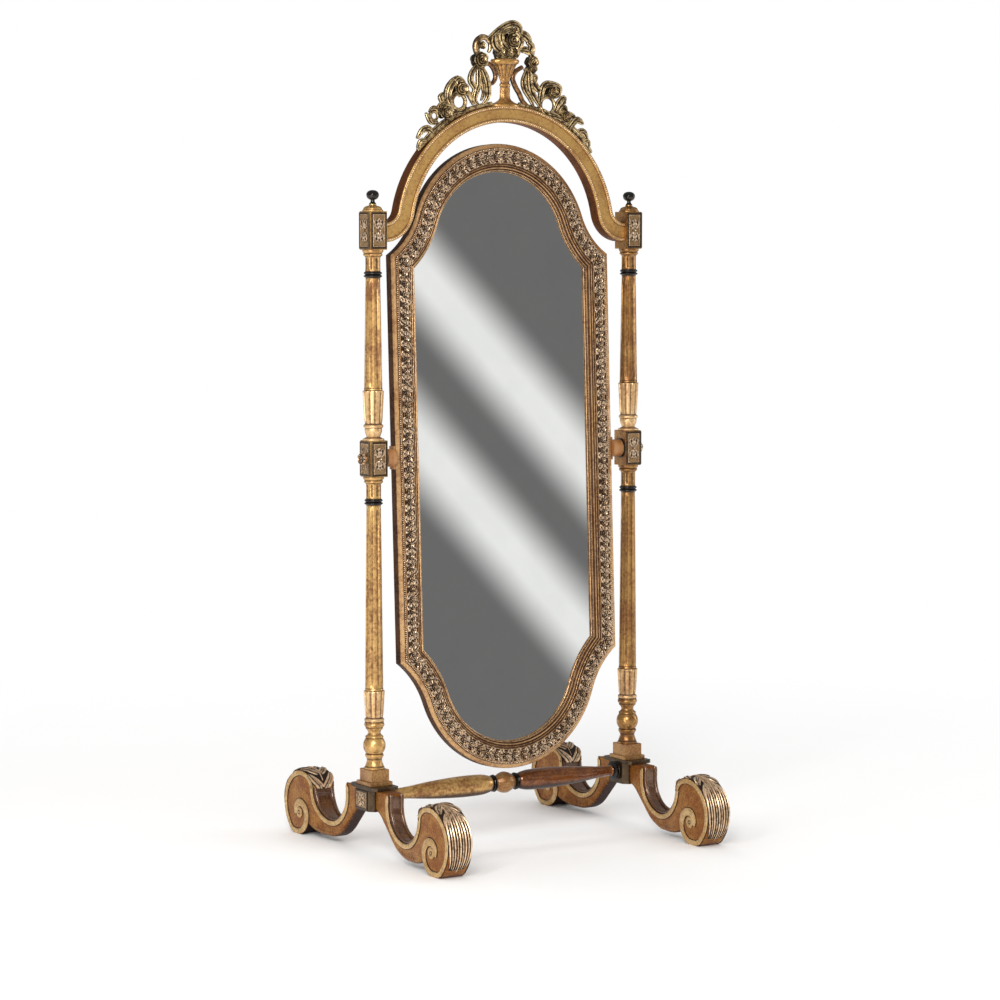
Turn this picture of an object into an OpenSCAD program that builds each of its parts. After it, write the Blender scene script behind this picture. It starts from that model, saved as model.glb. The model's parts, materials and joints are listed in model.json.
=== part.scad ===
// Cheval floor mirror: a tilting mirror hung between two turned posts on scrolled feet.
// X is across the mirror, -Y is the front, Z is up; the origin is on the floor, midway between the feet.

/* [Stand] */
// Distance between the two post axes
post_gap = 737; // [730:1:745]
// Height of the tilt axis above the floor
pivot_z = 952.6; // [950:0.2:956]
// Height of the stretcher's axis
stretcher_z = 139; // [137:1:141]
// Underside of the square base blocks, on top of the foot hubs
base_z = 168; // [167:1:169]
// Top face of the top blocks
top_z = 1540; // [1538:1:1542]
// Running play around the pivot bolts, all round
pivot_play = 0.05; // [0.02:0.01:0.09]

/* [Posts] */
// Width of a square block's core, across the mirror
block_w = 46.7; // [46:0.1:48]
// Depth of a square block's core, front to back
block_d = 50; // [49:0.5:51]
// Width of the plain block that each post stands on
plinth_w = 50; // [50:1:54]
// Depth of that block, front to back
plinth_d = 56; // [52:1:58]
// Projection of the step around that block's foot
plinth_step = 6; // [4:1:8]
// Thickness of the applied carved panels
panel_t = 3.3; // [2.5:0.1:3.5]
// Radius of the columns at their thin end
column_r0 = 17.4; // [16:0.2:19]
// Radius of the columns at their thick end
column_r1 = 21.6; // [20:0.2:23]
// Radius of the reeded cups below the columns
cup_r = 26; // [25:0.5:27]
// Radius of the ebonised rings
ring_r = 22.2; // [21:0.1:23]

/* [Feet] */
// Reach of a foot's scroll in front of and behind the post axis
foot_reach = 392; // [388:1:396]
// Width of a leg at its neck
neck_w = 45; // [42:1:48]
// Width of a leg at its scroll
scroll_w = 67; // [64:1:70]
// Width of the hub across the mirror
hub_w = 70; // [68:1:72]
// Depth of the hub, front to back
hub_d = 82; // [80:1:84]

/* [Arch] */
// Height of the arch rail's outer crown
arch_top = 1796; // [1794:1:1798]
// Height of the arch rail's inner crown
arch_under = 1755; // [1752:1:1757]
// Radius of the rail's outer curve
arch_out_r = 313; // [311:1:315]
// Radius of the rail's inner curve
arch_in_r = 268; // [266:1:270]
// Thickness of the rail, front to back
arch_t = 32; // [30:1:34]
// Height of the crest's highest flower
crest_top = 1993; // [1990:1:1996]

/* [Mirror] */
// Rest tilt of the mirror, top leaning back
rest_tilt = 2.5; // [2:0.1:3]
// Width of the mirror frame
frame_w = 624.4; // [620:0.2:626]
// Radius of the frame's domed top and round bottom
dome_r = 253; // [250:1:255]
// Height of the dome's centre above the tilt axis
dome_up = 499; // [497:1:501]
// Depth of the bowl's centre below the tilt axis
bowl_down = 520; // [518:1:521]
// Radius of the hollow shoulders at the top
shoulder_r = 176; // [172:1:180]
// Radius of the hollow shoulders at the bottom
skirt_r = 216; // [212:1:220]
// Width of the whole moulding, outer edge to glass
moulding_w = 68; // [66:1:70]
// Thickness of the mirror glass
glass_t = 4; // [3:0.5:5]

/* [Hidden] */
SIDES = ["left", "right"];
POST_PARTS = ["finial_ball", "finial_cap", "top_block", "upper_column", "upper_ring", "upper_cup",
              "pivot_block", "lower_column", "lower_ring", "lower_cup", "ball_turning", "base_block",
              "block_panels", "foot_hub", "foot_plaque", "front_leg", "rear_leg"];
SPAN_PARTS = ["stretcher_spindle", "crest_spray", "trunnion", "pivot_bolt", "clamp_knob"];

$fn = 64;
post_x = post_gap / 2;
block_in = post_x - (block_w + panel_t) / 2;
block_out = block_in + block_w;
rod_r = 4;
rod_hole_r = 4.5;
bolt_r = 5;
bore_r = bolt_r + pivot_play;
gilt = [0.78, 0.62, 0.34];
brown_gold = [0.55, 0.37, 0.18];
ebony = [0.06, 0.05, 0.05];
steel = [0.6, 0.6, 0.62];

// Levels of the turned post, from the floor up
base_top = base_z + 38;
urn_h = 102;
crest_y = -3;
turning_top = 320.6;
lower_cup_top = 395.6;
lower_ring_z = 849;
pivot_low = pivot_z - 43.6;
pivot_high = pivot_z + 43.6;
upper_cup_low = 1026;
upper_cup_top = 1115.4;
upper_ring_z = 1390;
top_low = top_z - 91.5;
cap_top = top_z + 17.2;
ball_top = top_z + 50;
ring_half = 7.5;

// Angles above level at which the rail's round crown meets its sweeps, outer and inner
out_sweep = 11;
in_sweep = 10;

// Levels in the moulding's section, along the mirror's own Y, back to front
frame_back = 14;
glass_front = 2;
frame_edge = -8;
frame_face = -16;
fillet_face = -12.7;
carving_face = -22;

// ---- outlines ----

function arc(c, r, a0, a1, n) = [for (i = [0 : n]) let (a = a0 + (a1 - a0) * i / n)
    [c[0] + r * cos(a), c[1] + r * sin(a)]];

// A half outline, from the top of the middle line to its foot, made whole
function both_halves(h) = concat(h, [for (i = [len(h) - 2 : -1 : 1]) [-h[i][0], h[i][1]]]);

// Half of one edge of the arch rail: a round crown that sweeps out level at x_end
function rail_edge(r, crown, sweep, x_end) =
    let (cz = crown - r, s = (x_end - r * cos(sweep)) / cos(sweep))
    concat(arc([0, cz], r, 90, sweep, 22),
           arc([x_end, cz + (r + s) * sin(sweep)], s, 180 + sweep, 270, 10));

// Half of the mirror frame's outline, d inside its outer edge
function frame_half(d, flare = 18) =
    let (w = frame_w / 2,
         c1 = [(dome_r + shoulder_r) * cos(flare), dome_up + (dome_r + shoulder_r) * sin(flare)],
         c2 = [(dome_r + skirt_r) * cos(flare), -bowl_down - (dome_r + skirt_r) * sin(flare)])
    concat(arc([0, dome_up], dome_r - d, 90, flare, 16),
           arc(c1, shoulder_r + d, 180 + flare, 180 + acos((c1[0] - w + d) / (shoulder_r + d)), 7),
           arc(c2, skirt_r + d, 180 - acos((c2[0] - w + d) / (skirt_r + d)), 180 - flare, 7),
           arc([0, -bowl_down], dome_r - d, -flare, -90, 16));

// Side outline of a leg, as distance from the post axis and height
function leg_outline() =
    let (root = hub_d / 2, big_r = 86.3, big = [foot_reach - big_r, 75], toe_r = 47.8,
         toe = [big[0] + (big_r - toe_r) * cos(45), big[1] - (big_r - toe_r) * sin(45) - 1.4])
    concat([[root, leg_top]],
           arc([92, leg_top - 10], 10, 90, 0, 5),
           arc([177, 130], 75, 180, 360, 20),
           arc([big[0] - 9.7, 112], 48, 165, 104.7, 6),
           arc(big, big_r, 104.7, -45, 16),
           arc(toe, toe_r, -45, -142, 12),
           arc([210, 153], 140, -56, -90, 6),
           arc([190, 123], 110, -90, -135, 8),
           arc([20, 47.2], 63.8, 45, acos((root - 20) / 63.8), 4));

// Bulge of a turning: r0 at both ends, r1 in the middle
function bulge(r0, r1, z0, z1, n = 12) = [for (i = [0 : n]) let (t = i / n)
    [r0 + (r1 - r0) * sin(180 * t), z0 + (z1 - z0) * t]];

// ---- helpers ----

module on_post(side) mirror([side == "left" ? 1 : 0, 0, 0]) translate([post_x, 0, 0]) children();

module on_side(side) mirror([side == "left" ? 1 : 0, 0, 0]) children();

// The mirror's own frame: origin on the tilt axis, leaning back by the rest tilt
module tilted() translate([0, 0, pivot_z]) rotate([-rest_tilt, 0, 0]) children();

// A flat outline in X and Z, thickened from y0 to y1
module plate(y0, y1) translate([0, y1, 0]) rotate([90, 0, 0]) linear_extrude(y1 - y0) children();

// A turned section, drilled for the post's rod
module turned(points) rotate_extrude($fn = 72)
    polygon(concat([[rod_hole_r, points[0][1]]], points, [[rod_hole_r, points[len(points) - 1][1]]]));

// A band of the mirror frame between two insets
module frame_band(d0, d1, y0, y1) plate(y0, y1) difference() {
    polygon(both_halves(frame_half(d0)));
    polygon(both_halves(frame_half(d1)));
}

// ---- posts ----

module block(z0, z1) difference() {
    translate([-(block_w + panel_t) / 2, -block_d / 2, z0]) cube([block_w, block_d, z1 - z0]);
    translate([0, 0, z0 - 1]) cylinder(r = rod_hole_r, h = z1 - z0 + 2);
}

module finial_ball() color(ebony)
    rotate_extrude($fn = 72) polygon(concat(
        [[0, cap_top], [8, cap_top], [5, cap_top + 5], [4.5, cap_top + 10]],
        arc([0, ball_top - 11], 14, -52, 52, 12), [[4, ball_top], [0, ball_top]]));

module finial_cap() color(gilt)
    turned(concat([[25, top_z], [25, top_z + 3], [22.5, top_z + 4.5]],
                  arc([6, top_z + 4.5], 16, 0, 62, 6), [[9, cap_top]]));

module top_block() color(brown_gold) block(top_low, top_z);

module upper_column() color(gilt)
    turned(concat([[column_r1, upper_cup_top], [column_r1 - 0.6, upper_cup_top + 60],
                   [column_r0 + 0.4, upper_ring_z - ring_half - 60],
                   [column_r0, upper_ring_z - ring_half]]));

module upper_ring() color(ebony) {
    post_ring(upper_ring_z);
    flared_neck(upper_ring_z + ring_half, top_low);
}

// The doubled ebonised ring, as two beads on a short core
module post_ring(z)
    turned(concat(bulge(18, ring_r, z - ring_half, z, 8), bulge(18, ring_r, z, z + ring_half, 8)));

// Neck above a ring: a straight stem that flares under the block above
module flared_neck(z0, z1)
    turned([[column_r0 + 0.6, z0], [column_r0 + 0.4, z1 - 17], [21, z1 - 13],
            [23, z1 - 9], [23, z1 - 7], [25, z1 - 4], [25, z1]]);

module upper_cup() color(gilt) {
    turned(concat([[20, upper_cup_low], [23, upper_cup_low + 2], [23, upper_cup_low + 7],
                   [21.5, upper_cup_low + 12], [22, upper_cup_low + 20]],
                  [[cup_r - 2, upper_cup_low + 24]],
                  bulge(cup_r - 1.5, cup_r, upper_cup_low + 26, upper_cup_top - 4, 4),
                  [[column_r1 + 1, upper_cup_top]]));
    // Vase foot that seats on the pivot block
    turned([[26, pivot_high], [26, pivot_high + 4], [16, pivot_high + 8], [18, pivot_high + 15],
            [20.5, pivot_high + 22], [20, upper_cup_low]]);
}

module pivot_block() color(brown_gold) difference() {
    block(pivot_low, pivot_high);
    pivot_bore();
}

module pivot_bore() translate([-40, 0, pivot_z]) rotate([0, 90, 0]) cylinder(r = bore_r, h = 80);

module lower_column() color(gilt) {
    turned([[column_r1, lower_cup_top], [column_r1 - 0.4, lower_cup_top + 90],
            [column_r0 + 1, lower_ring_z - ring_half - 130], [column_r0, lower_ring_z - ring_half]]);
}

module lower_ring() color(ebony) {
    post_ring(lower_ring_z);
    flared_neck(lower_ring_z + ring_half, pivot_low);
}

module lower_cup() color(gilt)
    turned(concat([[23, turning_top], [cup_r - 1, turning_top + 3]],
                  bulge(cup_r - 0.5, cup_r + 0.5, turning_top + 5, lower_cup_top - 5, 6),
                  [[column_r1 + 1, lower_cup_top]]));

// Stacked turnings between the base block and the lower cup: torus, neck, ball, vase
module ball_turning() color(gilt)
    turned(concat([[24.5, base_top], [24.5, base_top + 4], [21, base_top + 12], [18, base_top + 22],
                   [22, base_top + 32], [23, base_top + 36]],
                  arc([0.2, base_top + 56.6], 27, -38, 38, 10),
                  [[22, base_top + 77.5], [15, base_top + 85], [15, base_top + 90],
                   [21, base_top + 97], [21, base_top + 99]],
                  bulge(22, 24.2, base_top + 101, base_top + 112, 6),
                  [[23, turning_top]]));

// Plain block with a stepped foot
module base_block() color(gilt) difference() {
    union() {
        centred_box(plinth_w, plinth_d, base_z, base_top);
        centred_box(plinth_w + 2 * plinth_step, plinth_d + 2 * plinth_step, base_z, base_z + 9);
    }
    translate([0, 0, base_z - 1]) cylinder(r = rod_hole_r, h = base_top - base_z + 2);
}

module centred_box(w, d, z0, z1) translate([-w / 2, -d / 2, z0]) cube([w, d, z1 - z0]);

// Applied carved panels on the outer, front and back faces of the two upper blocks
module block_panels() color(gilt) {
    for (b = [[pivot_low, pivot_high], [top_low, top_z]]) {
        z = (b[0] + b[1]) / 2;
        h = b[1] - b[0] - 5;
        for (f = [-1, 1])
            translate([-panel_t / 2, f * block_d / 2, z]) rotate([90, 0, f < 0 ? 0 : 180])
                panel(block_w - 4, h, 0);
        translate([(block_w - panel_t) / 2, 0, z]) rotate([90, 0, 90])
            panel(block_d - 4, h, b[0] == pivot_low ? 9.5 : 0);
    }
}

// One panel, lying in X and Y, with a sunk field, a lozenge and, where asked, a hole for the knob
module panel(w, h, hole_r) difference() {
    translate([-w / 2, -h / 2, 0]) cube([w, h, panel_t]);
    difference() {
        translate([-w / 2 + 5, -h / 2 + 5, panel_t - 1.2]) cube([w - 10, h - 10, 2]);
        rotate([0, 0, 45]) cube([13, 13, 20], center = true);
    }
    if (hole_r > 0) translate([0, 0, -1]) cylinder(r = hole_r, h = panel_t + 2);
}

// Steel rods that draw each post together, one below and one above the pivot bolt
module post_rods() color(steel)
    for (side = SIDES) on_post(side) {
        translate([0, 0, base_z - 16]) cylinder(r = rod_r, h = pivot_z - 20 - base_z + 16);
        translate([0, 0, pivot_z + 20]) cylinder(r = rod_r, h = cap_top - 3 - pivot_z - 20);
    }

// ---- feet and stretcher ----

hub_low = 108;
leg_top = 160;
leg_bolt_z = 146;

module foot_hub() color(brown_gold) difference() {
    union() {
        translate([0, 0, hub_low]) linear_extrude(leg_top - hub_low) chamfered(hub_w, hub_d, 12);
        translate([0, 0, leg_top]) linear_extrude(base_z - leg_top) chamfered(hub_w, 121, 8);
    }
    translate([0, 0, base_z - 18]) cylinder(r = rod_r, h = 30);
    translate([-hub_w, 0, stretcher_z]) rotate([0, 90, 0]) cylinder(r = rod_r, h = hub_w * 2);
    for (f = [-1, 1]) translate([0, f * 16, leg_bolt_z]) rotate([-90 * f, 0, 0])
        cylinder(r = rod_r, h = 90);
}

module chamfered(w, d, c) polygon([[-w / 2 + c, -d / 2], [w / 2 - c, -d / 2], [w / 2, -d / 2 + c],
    [w / 2, d / 2 - c], [w / 2 - c, d / 2], [-w / 2 + c, d / 2], [-w / 2, d / 2 - c], [-w / 2, -d / 2 + c]]);

// Framed plaque with a rosette, on the hub's outer face
module foot_plaque() color(gilt) translate([hub_w / 2, 0, (hub_low + leg_top) / 2])
    rotate([90, 0, 90]) {
        difference() {
            translate([-28, -23, 0]) cube([56, 46, 3]);
            translate([-22, -17, 1.5]) cube([44, 34, 3]);
        }
        translate([0, 0, 1.5]) cylinder(r = 11, h = 3.5);
    }

// A leg pointing to +Y: the side outline cut by a plan that widens towards the scroll
module leg() difference() {
    intersection() {
        translate([-50, 0, 0]) rotate([90, 0, 90]) linear_extrude(100) polygon(leg_outline());
        linear_extrude(200) leg_plan();
    }
    translate([0, hub_d / 2 - 1, leg_bolt_z]) rotate([-90, 0, 0]) cylinder(r = rod_r, h = 31);
}

module leg_plan() {
    n = neck_w / 2;
    s = scroll_w / 2;
    half = [[n, hub_d / 2], [n, 150], [n + 3, 200], [s - 2.5, 251], [s, 300], [s, foot_reach + 5]];
    polygon(concat(half, [for (i = [len(half) - 1 : -1 : 0]) [-half[i][0], half[i][1]]]));
}

module rear_leg() color(brown_gold) leg();

module front_leg() color(brown_gold) mirror([0, 1, 0]) leg();

// Bolts that hold the legs and the stretcher to the hubs
module foot_bolts() color(steel)
    for (side = SIDES) on_post(side) {
        for (f = [-1, 1]) translate([0, f * 16, leg_bolt_z]) rotate([-90 * f, 0, 0])
            cylinder(r = rod_r, h = 54);
        translate([-hub_w / 2 - 40, 0, stretcher_z]) rotate([0, 90, 0])
            cylinder(r = rod_r, h = hub_w + 38);
    }

hub_in = post_x - hub_w / 2;
spindle_r = 24.6;
spindle_r0 = 12;
spindle_full = 70;

// Turned half of the stretcher, thin at the hub and full beside the middle ball
module stretcher_spindle() color(brown_gold)
    translate([0, 0, stretcher_z]) rotate([0, 90, 0]) difference() {
        rotate_extrude($fn = 72) polygon(concat(
            [[0, 38], [14, 38]],
            [for (a = [0 : 15 : 90]) [15 + (spindle_r - 15) * sin(a), spindle_full - 30 * cos(a)]],
            [for (i = [1 : 8]) let (t = i / 8)
                [spindle_r - (spindle_r - spindle_r0) * (0.85 * t + 0.15 * t * t),
                 spindle_full + (hub_in - 14 - spindle_full) * t]],
            [[0, hub_in - 14]]));
        translate([0, 0, hub_in - 42]) cylinder(r = rod_r, h = 60);
    }

module stretcher_ball() color(gilt) translate([0, 0, stretcher_z]) rotate([0, 90, 0])
    rotate_extrude($fn = 72) polygon(concat([[0, -28]], bulge(14, 25, -28, 28, 16), [[0, 28]]));

// Ebonised rings beside the ball and collars against the hubs
module stretcher_rings() color(ebony)
    for (side = SIDES) on_side(side) translate([0, 0, stretcher_z]) rotate([0, 90, 0]) {
        rotate_extrude($fn = 72) polygon(concat([[0, 28]], bulge(17, 21, 28, 38, 8), [[0, 38]]));
        rotate_extrude($fn = 72)
            polygon(concat([[rod_r, hub_in - 14]], bulge(18, 23.5, hub_in - 14, hub_in, 8),
                           [[rod_r, hub_in]]));
    }

// ---- arch and crest ----

module rail_shape(inset)
    polygon(concat(both_open(rail_edge(arch_out_r - inset, arch_top - inset, out_sweep, block_in)),
                   flipped(rail_edge(arch_in_r + inset, arch_under + inset, in_sweep, block_in))));

// A whole edge of the rail from its left end to its right end, and the same run backwards
function both_open(h) = concat([for (i = [len(h) - 1 : -1 : 1]) [-h[i][0], h[i][1]]], h);
function flipped(h) = let (p = both_open(h)) [for (i = [len(p) - 1 : -1 : 0]) p[i]];

module arch_rail() color(gilt) plate(-arch_t / 2, arch_t / 2) rail_shape(0);

// Beaded mouldings along the outer and inner edges of the rail's front
module arch_beads() color([0.86, 0.74, 0.48]) plate(-arch_t / 2 - 4, -arch_t / 2) difference() {
    rail_shape(0.5);
    rail_shape(9);
}

// Urn whose foot is scribed to the curve of the arch
module crest_urn() color(gilt) difference() {
    translate([0, crest_y, arch_top]) rotate_extrude($fn = 72)
        polygon(concat([[0, -3], [34, -3], [34, 6], [14, 14], [9, 24]], bulge(12, 33, 28, 86, 12),
                       [[26, 96], [28, urn_h], [0, urn_h]]));
    translate([0, 60, arch_top - arch_out_r]) rotate([90, 0, 0])
        cylinder(r = arch_out_r, h = 120, $fn = 180);
}

// Mass of the rose bouquet on the urn's lip: thick round blooms, each [x, height of its middle, radius]
module crest_bouquet() color(gilt) {
    blooms = [[-78, -2, 18], [-58, 26, 24], [-30, 40, 26], [0, 30, 28], [30, 40, 26], [52, 22, 22],
              [74, -6, 18], [4, crest_top - arch_top - urn_h - 25, 25]];
    translate([0, crest_y, arch_top + urn_h]) {
        cylinder(r = 22, h = 18);
        for (b = blooms) translate([b[0], 0, b[1]]) rotate([90, 0, 0])
            cylinder(r = b[2], h = 1.3 * b[2], center = true);
    }
}

// Pierced spray of scrolls and roses that runs from the urn down the shoulder of the arch
module crest_spray() color(gilt) plate(-16, 8) difference() {
    union() {
        translate([123, 1804]) circle(r = 25);
        translate([142, 1818]) circle(r = 24);
        translate([112, 1842]) circle(r = 22);
        translate([84, 1838]) circle(r = 20);
        translate([60, 1818]) circle(r = 28);
        for (a = [40 : 5 : 66]) translate([(arch_out_r + 10) * cos(a), arch_top - arch_out_r
            + (arch_out_r + 10) * sin(a)]) circle(r = 15 + 12 * (a - 40) / 26);
    }
    translate([123, 1804]) circle(r = 10);
    translate([0, arch_top - arch_out_r]) circle(r = arch_out_r + 0.1, $fn = 180);
    translate([-60, 1700]) square([95, 200]);
}

// ---- pivots ----

// Boss on the mirror frame's edge, with the bore that turns on the bolt
boss_r = 21.5;
boss_plate = [4, 56];

module trunnion() color([0.72, 0.55, 0.36]) difference() {
    union() {
        translate([frame_w / 2, frame_edge, -boss_plate[1] / 2])
            cube([boss_plate[0], frame_back - frame_edge, boss_plate[1]]);
        translate([frame_w / 2, 0, 0]) rotate([0, 90, 0])
            cylinder(r = boss_r, h = block_in - washer_t - 0.3 - frame_w / 2);
    }
    translate([frame_w / 2 + 6, 0, 0]) rotate([0, 90, 0]) cylinder(r = bore_r, h = 60);
}

washer_t = 2.2;

module pivot_washers() color(ebony)
    for (side = SIDES) on_side(side) translate([block_in - washer_t, 0, pivot_z]) rotate([0, 90, 0])
        difference() {
            cylinder(r = 25, h = washer_t);
            translate([0, 0, -1]) cylinder(r = 6.5, h = washer_t + 2);
        }

knob_end = block_out + 22.3;

module pivot_bolt() color(steel) translate([frame_w / 2 + 9, 0, pivot_z]) rotate([0, 90, 0])
    cylinder(r = bolt_r, h = knob_end - 6 - frame_w / 2 - 9);

// Rosette-headed clamp knob, pressed on the bolt's outer end
module clamp_knob() color(gilt) translate([block_out + 0.3, 0, pivot_z]) rotate([0, 90, 0])
    difference() {
        rotate_extrude($fn = 72) polygon([[0, 0], [8.5, 0], [8.5, 4.2], [13, 5], [14.5, 9], [14.5, 12],
            [12.5, 15.5], [9, 18], [6, 22], [0, 22]]);
        translate([0, 0, -1]) cylinder(r = bolt_r, h = 17);
    }

// ---- mirror ----

slip_d = moulding_w - 7;

module frame_moulding() color(gilt) {
    frame_band(0, 8, frame_edge, frame_back);
    frame_band(8, 17, frame_face - 1, frame_back);
    frame_band(17, 48, frame_face, frame_back);
    frame_band(48, slip_d, fillet_face, frame_back);
}

// Carved band of roses and leaves, laid on the moulding's flat
module floral_band() color([0.83, 0.68, 0.4]) frame_band(17.5, 46, carving_face, frame_face);

// Slip between the moulding and the glass
module sight_slip() color(brown_gold) frame_band(slip_d, moulding_w, -6, glass_front);

module mirror_glass() color([0.75, 0.78, 0.8]) plate(glass_front, glass_front + glass_t)
    polygon(both_halves(frame_half(slip_d)));

module backing_board() color([0.45, 0.33, 0.22]) plate(glass_front + glass_t, frame_back)
    polygon(both_halves(frame_half(slip_d)));

// Brass turn buttons and their screws, on the back around the board
module turn_buttons() color([0.7, 0.56, 0.28]) {
    for (s = [-1, 1], z = [-400, -135, 135, 400])
        turn_button([s * (frame_w / 2 - slip_d + 6), z], 0);
    for (a = [62, 90, 118]) {
        turn_button([(dome_r - slip_d + 6) * cos(a), dome_up + (dome_r - slip_d + 6) * sin(a)], a);
        turn_button([(dome_r - slip_d + 6) * cos(a), -bowl_down - (dome_r - slip_d + 6) * sin(a)], -a);
    }
}

module turn_button(p, a) translate([p[0], 0, p[1]]) rotate([0, -a, 0]) {
    translate([-17, frame_back, -6]) cube([34, 2.5, 12]);
    translate([8 * (p[0] < 0 && a == 0 ? -1 : 1), frame_back + 2.5, 0]) rotate([-90, 0, 0])
        cylinder(r = 3.5, h = 1.5);
}

// ---- assembly ----

module post_part(part) {
    if (part == "finial_ball") finial_ball();
    if (part == "finial_cap") finial_cap();
    if (part == "top_block") top_block();
    if (part == "upper_column") upper_column();
    if (part == "upper_ring") upper_ring();
    if (part == "upper_cup") upper_cup();
    if (part == "pivot_block") pivot_block();
    if (part == "lower_column") lower_column();
    if (part == "lower_ring") lower_ring();
    if (part == "lower_cup") lower_cup();
    if (part == "ball_turning") ball_turning();
    if (part == "base_block") base_block();
    if (part == "block_panels") block_panels();
    if (part == "foot_hub") foot_hub();
    if (part == "foot_plaque") foot_plaque();
    if (part == "front_leg") front_leg();
    if (part == "rear_leg") rear_leg();
}

for (side = SIDES) {
    for (part = POST_PARTS)
        on_post(side) post_part(part);
    on_side(side) stretcher_spindle();
    on_side(side) crest_spray();
    tilted() on_side(side) trunnion();
    on_side(side) pivot_bolt();
    on_side(side) clamp_knob();
}
pivot_washers();
post_rods();
foot_bolts();
stretcher_ball();
stretcher_rings();
arch_rail();
arch_beads();
crest_urn();
crest_bouquet();
tilted() frame_moulding();
tilted() floral_band();
tilted() sight_slip();
tilted() mirror_glass();
tilted() backing_board();
tilted() turn_buttons();
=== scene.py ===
import json
import math
import random

import bpy
import numpy as np
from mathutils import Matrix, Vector
from mathutils.geometry import delaunay_2d_cdt


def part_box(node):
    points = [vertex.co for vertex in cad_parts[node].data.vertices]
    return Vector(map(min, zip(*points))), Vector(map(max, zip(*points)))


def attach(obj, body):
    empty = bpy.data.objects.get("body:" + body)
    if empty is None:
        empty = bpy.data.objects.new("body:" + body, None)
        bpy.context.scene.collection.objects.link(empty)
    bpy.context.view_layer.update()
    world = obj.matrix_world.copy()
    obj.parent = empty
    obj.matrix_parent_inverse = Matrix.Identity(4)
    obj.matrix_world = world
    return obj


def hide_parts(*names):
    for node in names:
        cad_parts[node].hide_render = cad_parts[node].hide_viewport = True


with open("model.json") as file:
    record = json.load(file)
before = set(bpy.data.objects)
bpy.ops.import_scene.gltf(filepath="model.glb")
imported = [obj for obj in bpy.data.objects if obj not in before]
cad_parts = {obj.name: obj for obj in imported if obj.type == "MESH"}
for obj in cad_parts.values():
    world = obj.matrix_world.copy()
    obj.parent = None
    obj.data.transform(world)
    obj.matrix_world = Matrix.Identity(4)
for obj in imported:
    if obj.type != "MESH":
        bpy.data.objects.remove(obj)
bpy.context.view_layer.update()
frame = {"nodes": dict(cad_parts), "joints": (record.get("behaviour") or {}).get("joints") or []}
mm = 0.001
sides = {"left": -1, "right": 1}
dice = random.Random(7)

# Measures are in millimetres until buildPiece turns them into metres.
# X runs across the mirror, -Y is its front, Z is up.


def span(node):  # lowest and highest corner of a CAD node
    low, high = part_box(node)
    return np.array(low) / mm, np.array(high) / mm


def middle(node, axis):
    low, high = span(node)
    return (low[axis] + high[axis]) / 2


def hingeOf(name):
    return next(j for j in frame["joints"] if j["name"] == name)


postX = middle("right_upper_column", 0)
pivotZ = hingeOf("mirror_tilt")["pos_m"][2] / mm


# Camera
viewpoint = {"place": (-4.2745, -6.7254, 1.5060), "down": 4.80, "turn": -32.37, "lens": 117.65}


def setCamera():
    lens = bpy.data.cameras.new("camera")
    lens.lens, lens.sensor_width = viewpoint["lens"], 36
    lens.clip_end = 100
    camera = bpy.data.objects.new("camera", lens)
    camera.location = viewpoint["place"]
    camera.rotation_euler = (math.radians(90 - viewpoint["down"]), 0, math.radians(viewpoint["turn"]))
    bpy.context.scene.collection.objects.link(camera)
    bpy.context.scene.camera = camera


# Shader writing
class Sock:  # one output socket, so that shader maths reads as plain sums
    def __init__(self, finish, socket):
        self.finish, self.socket = finish, socket

    def sum(self, operation, other, turned=False):
        first, second = (other, self) if turned else (self, other)
        return self.finish.node("Math", {"operation": operation}, {0: first, 1: second})

    def __add__(self, other):
        return self.sum("ADD", other)

    def __radd__(self, other):
        return self.sum("ADD", other, True)

    def __sub__(self, other):
        return self.sum("SUBTRACT", other)

    def __rsub__(self, other):
        return self.sum("SUBTRACT", other, True)

    def __mul__(self, other):
        return self.sum("MULTIPLY", other)

    def __rmul__(self, other):
        return self.sum("MULTIPLY", other, True)

    def __truediv__(self, other):
        return self.sum("DIVIDE", other)

    def __rtruediv__(self, other):
        return self.sum("DIVIDE", other, True)

    def __pow__(self, other):
        return self.sum("POWER", other)


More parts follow.
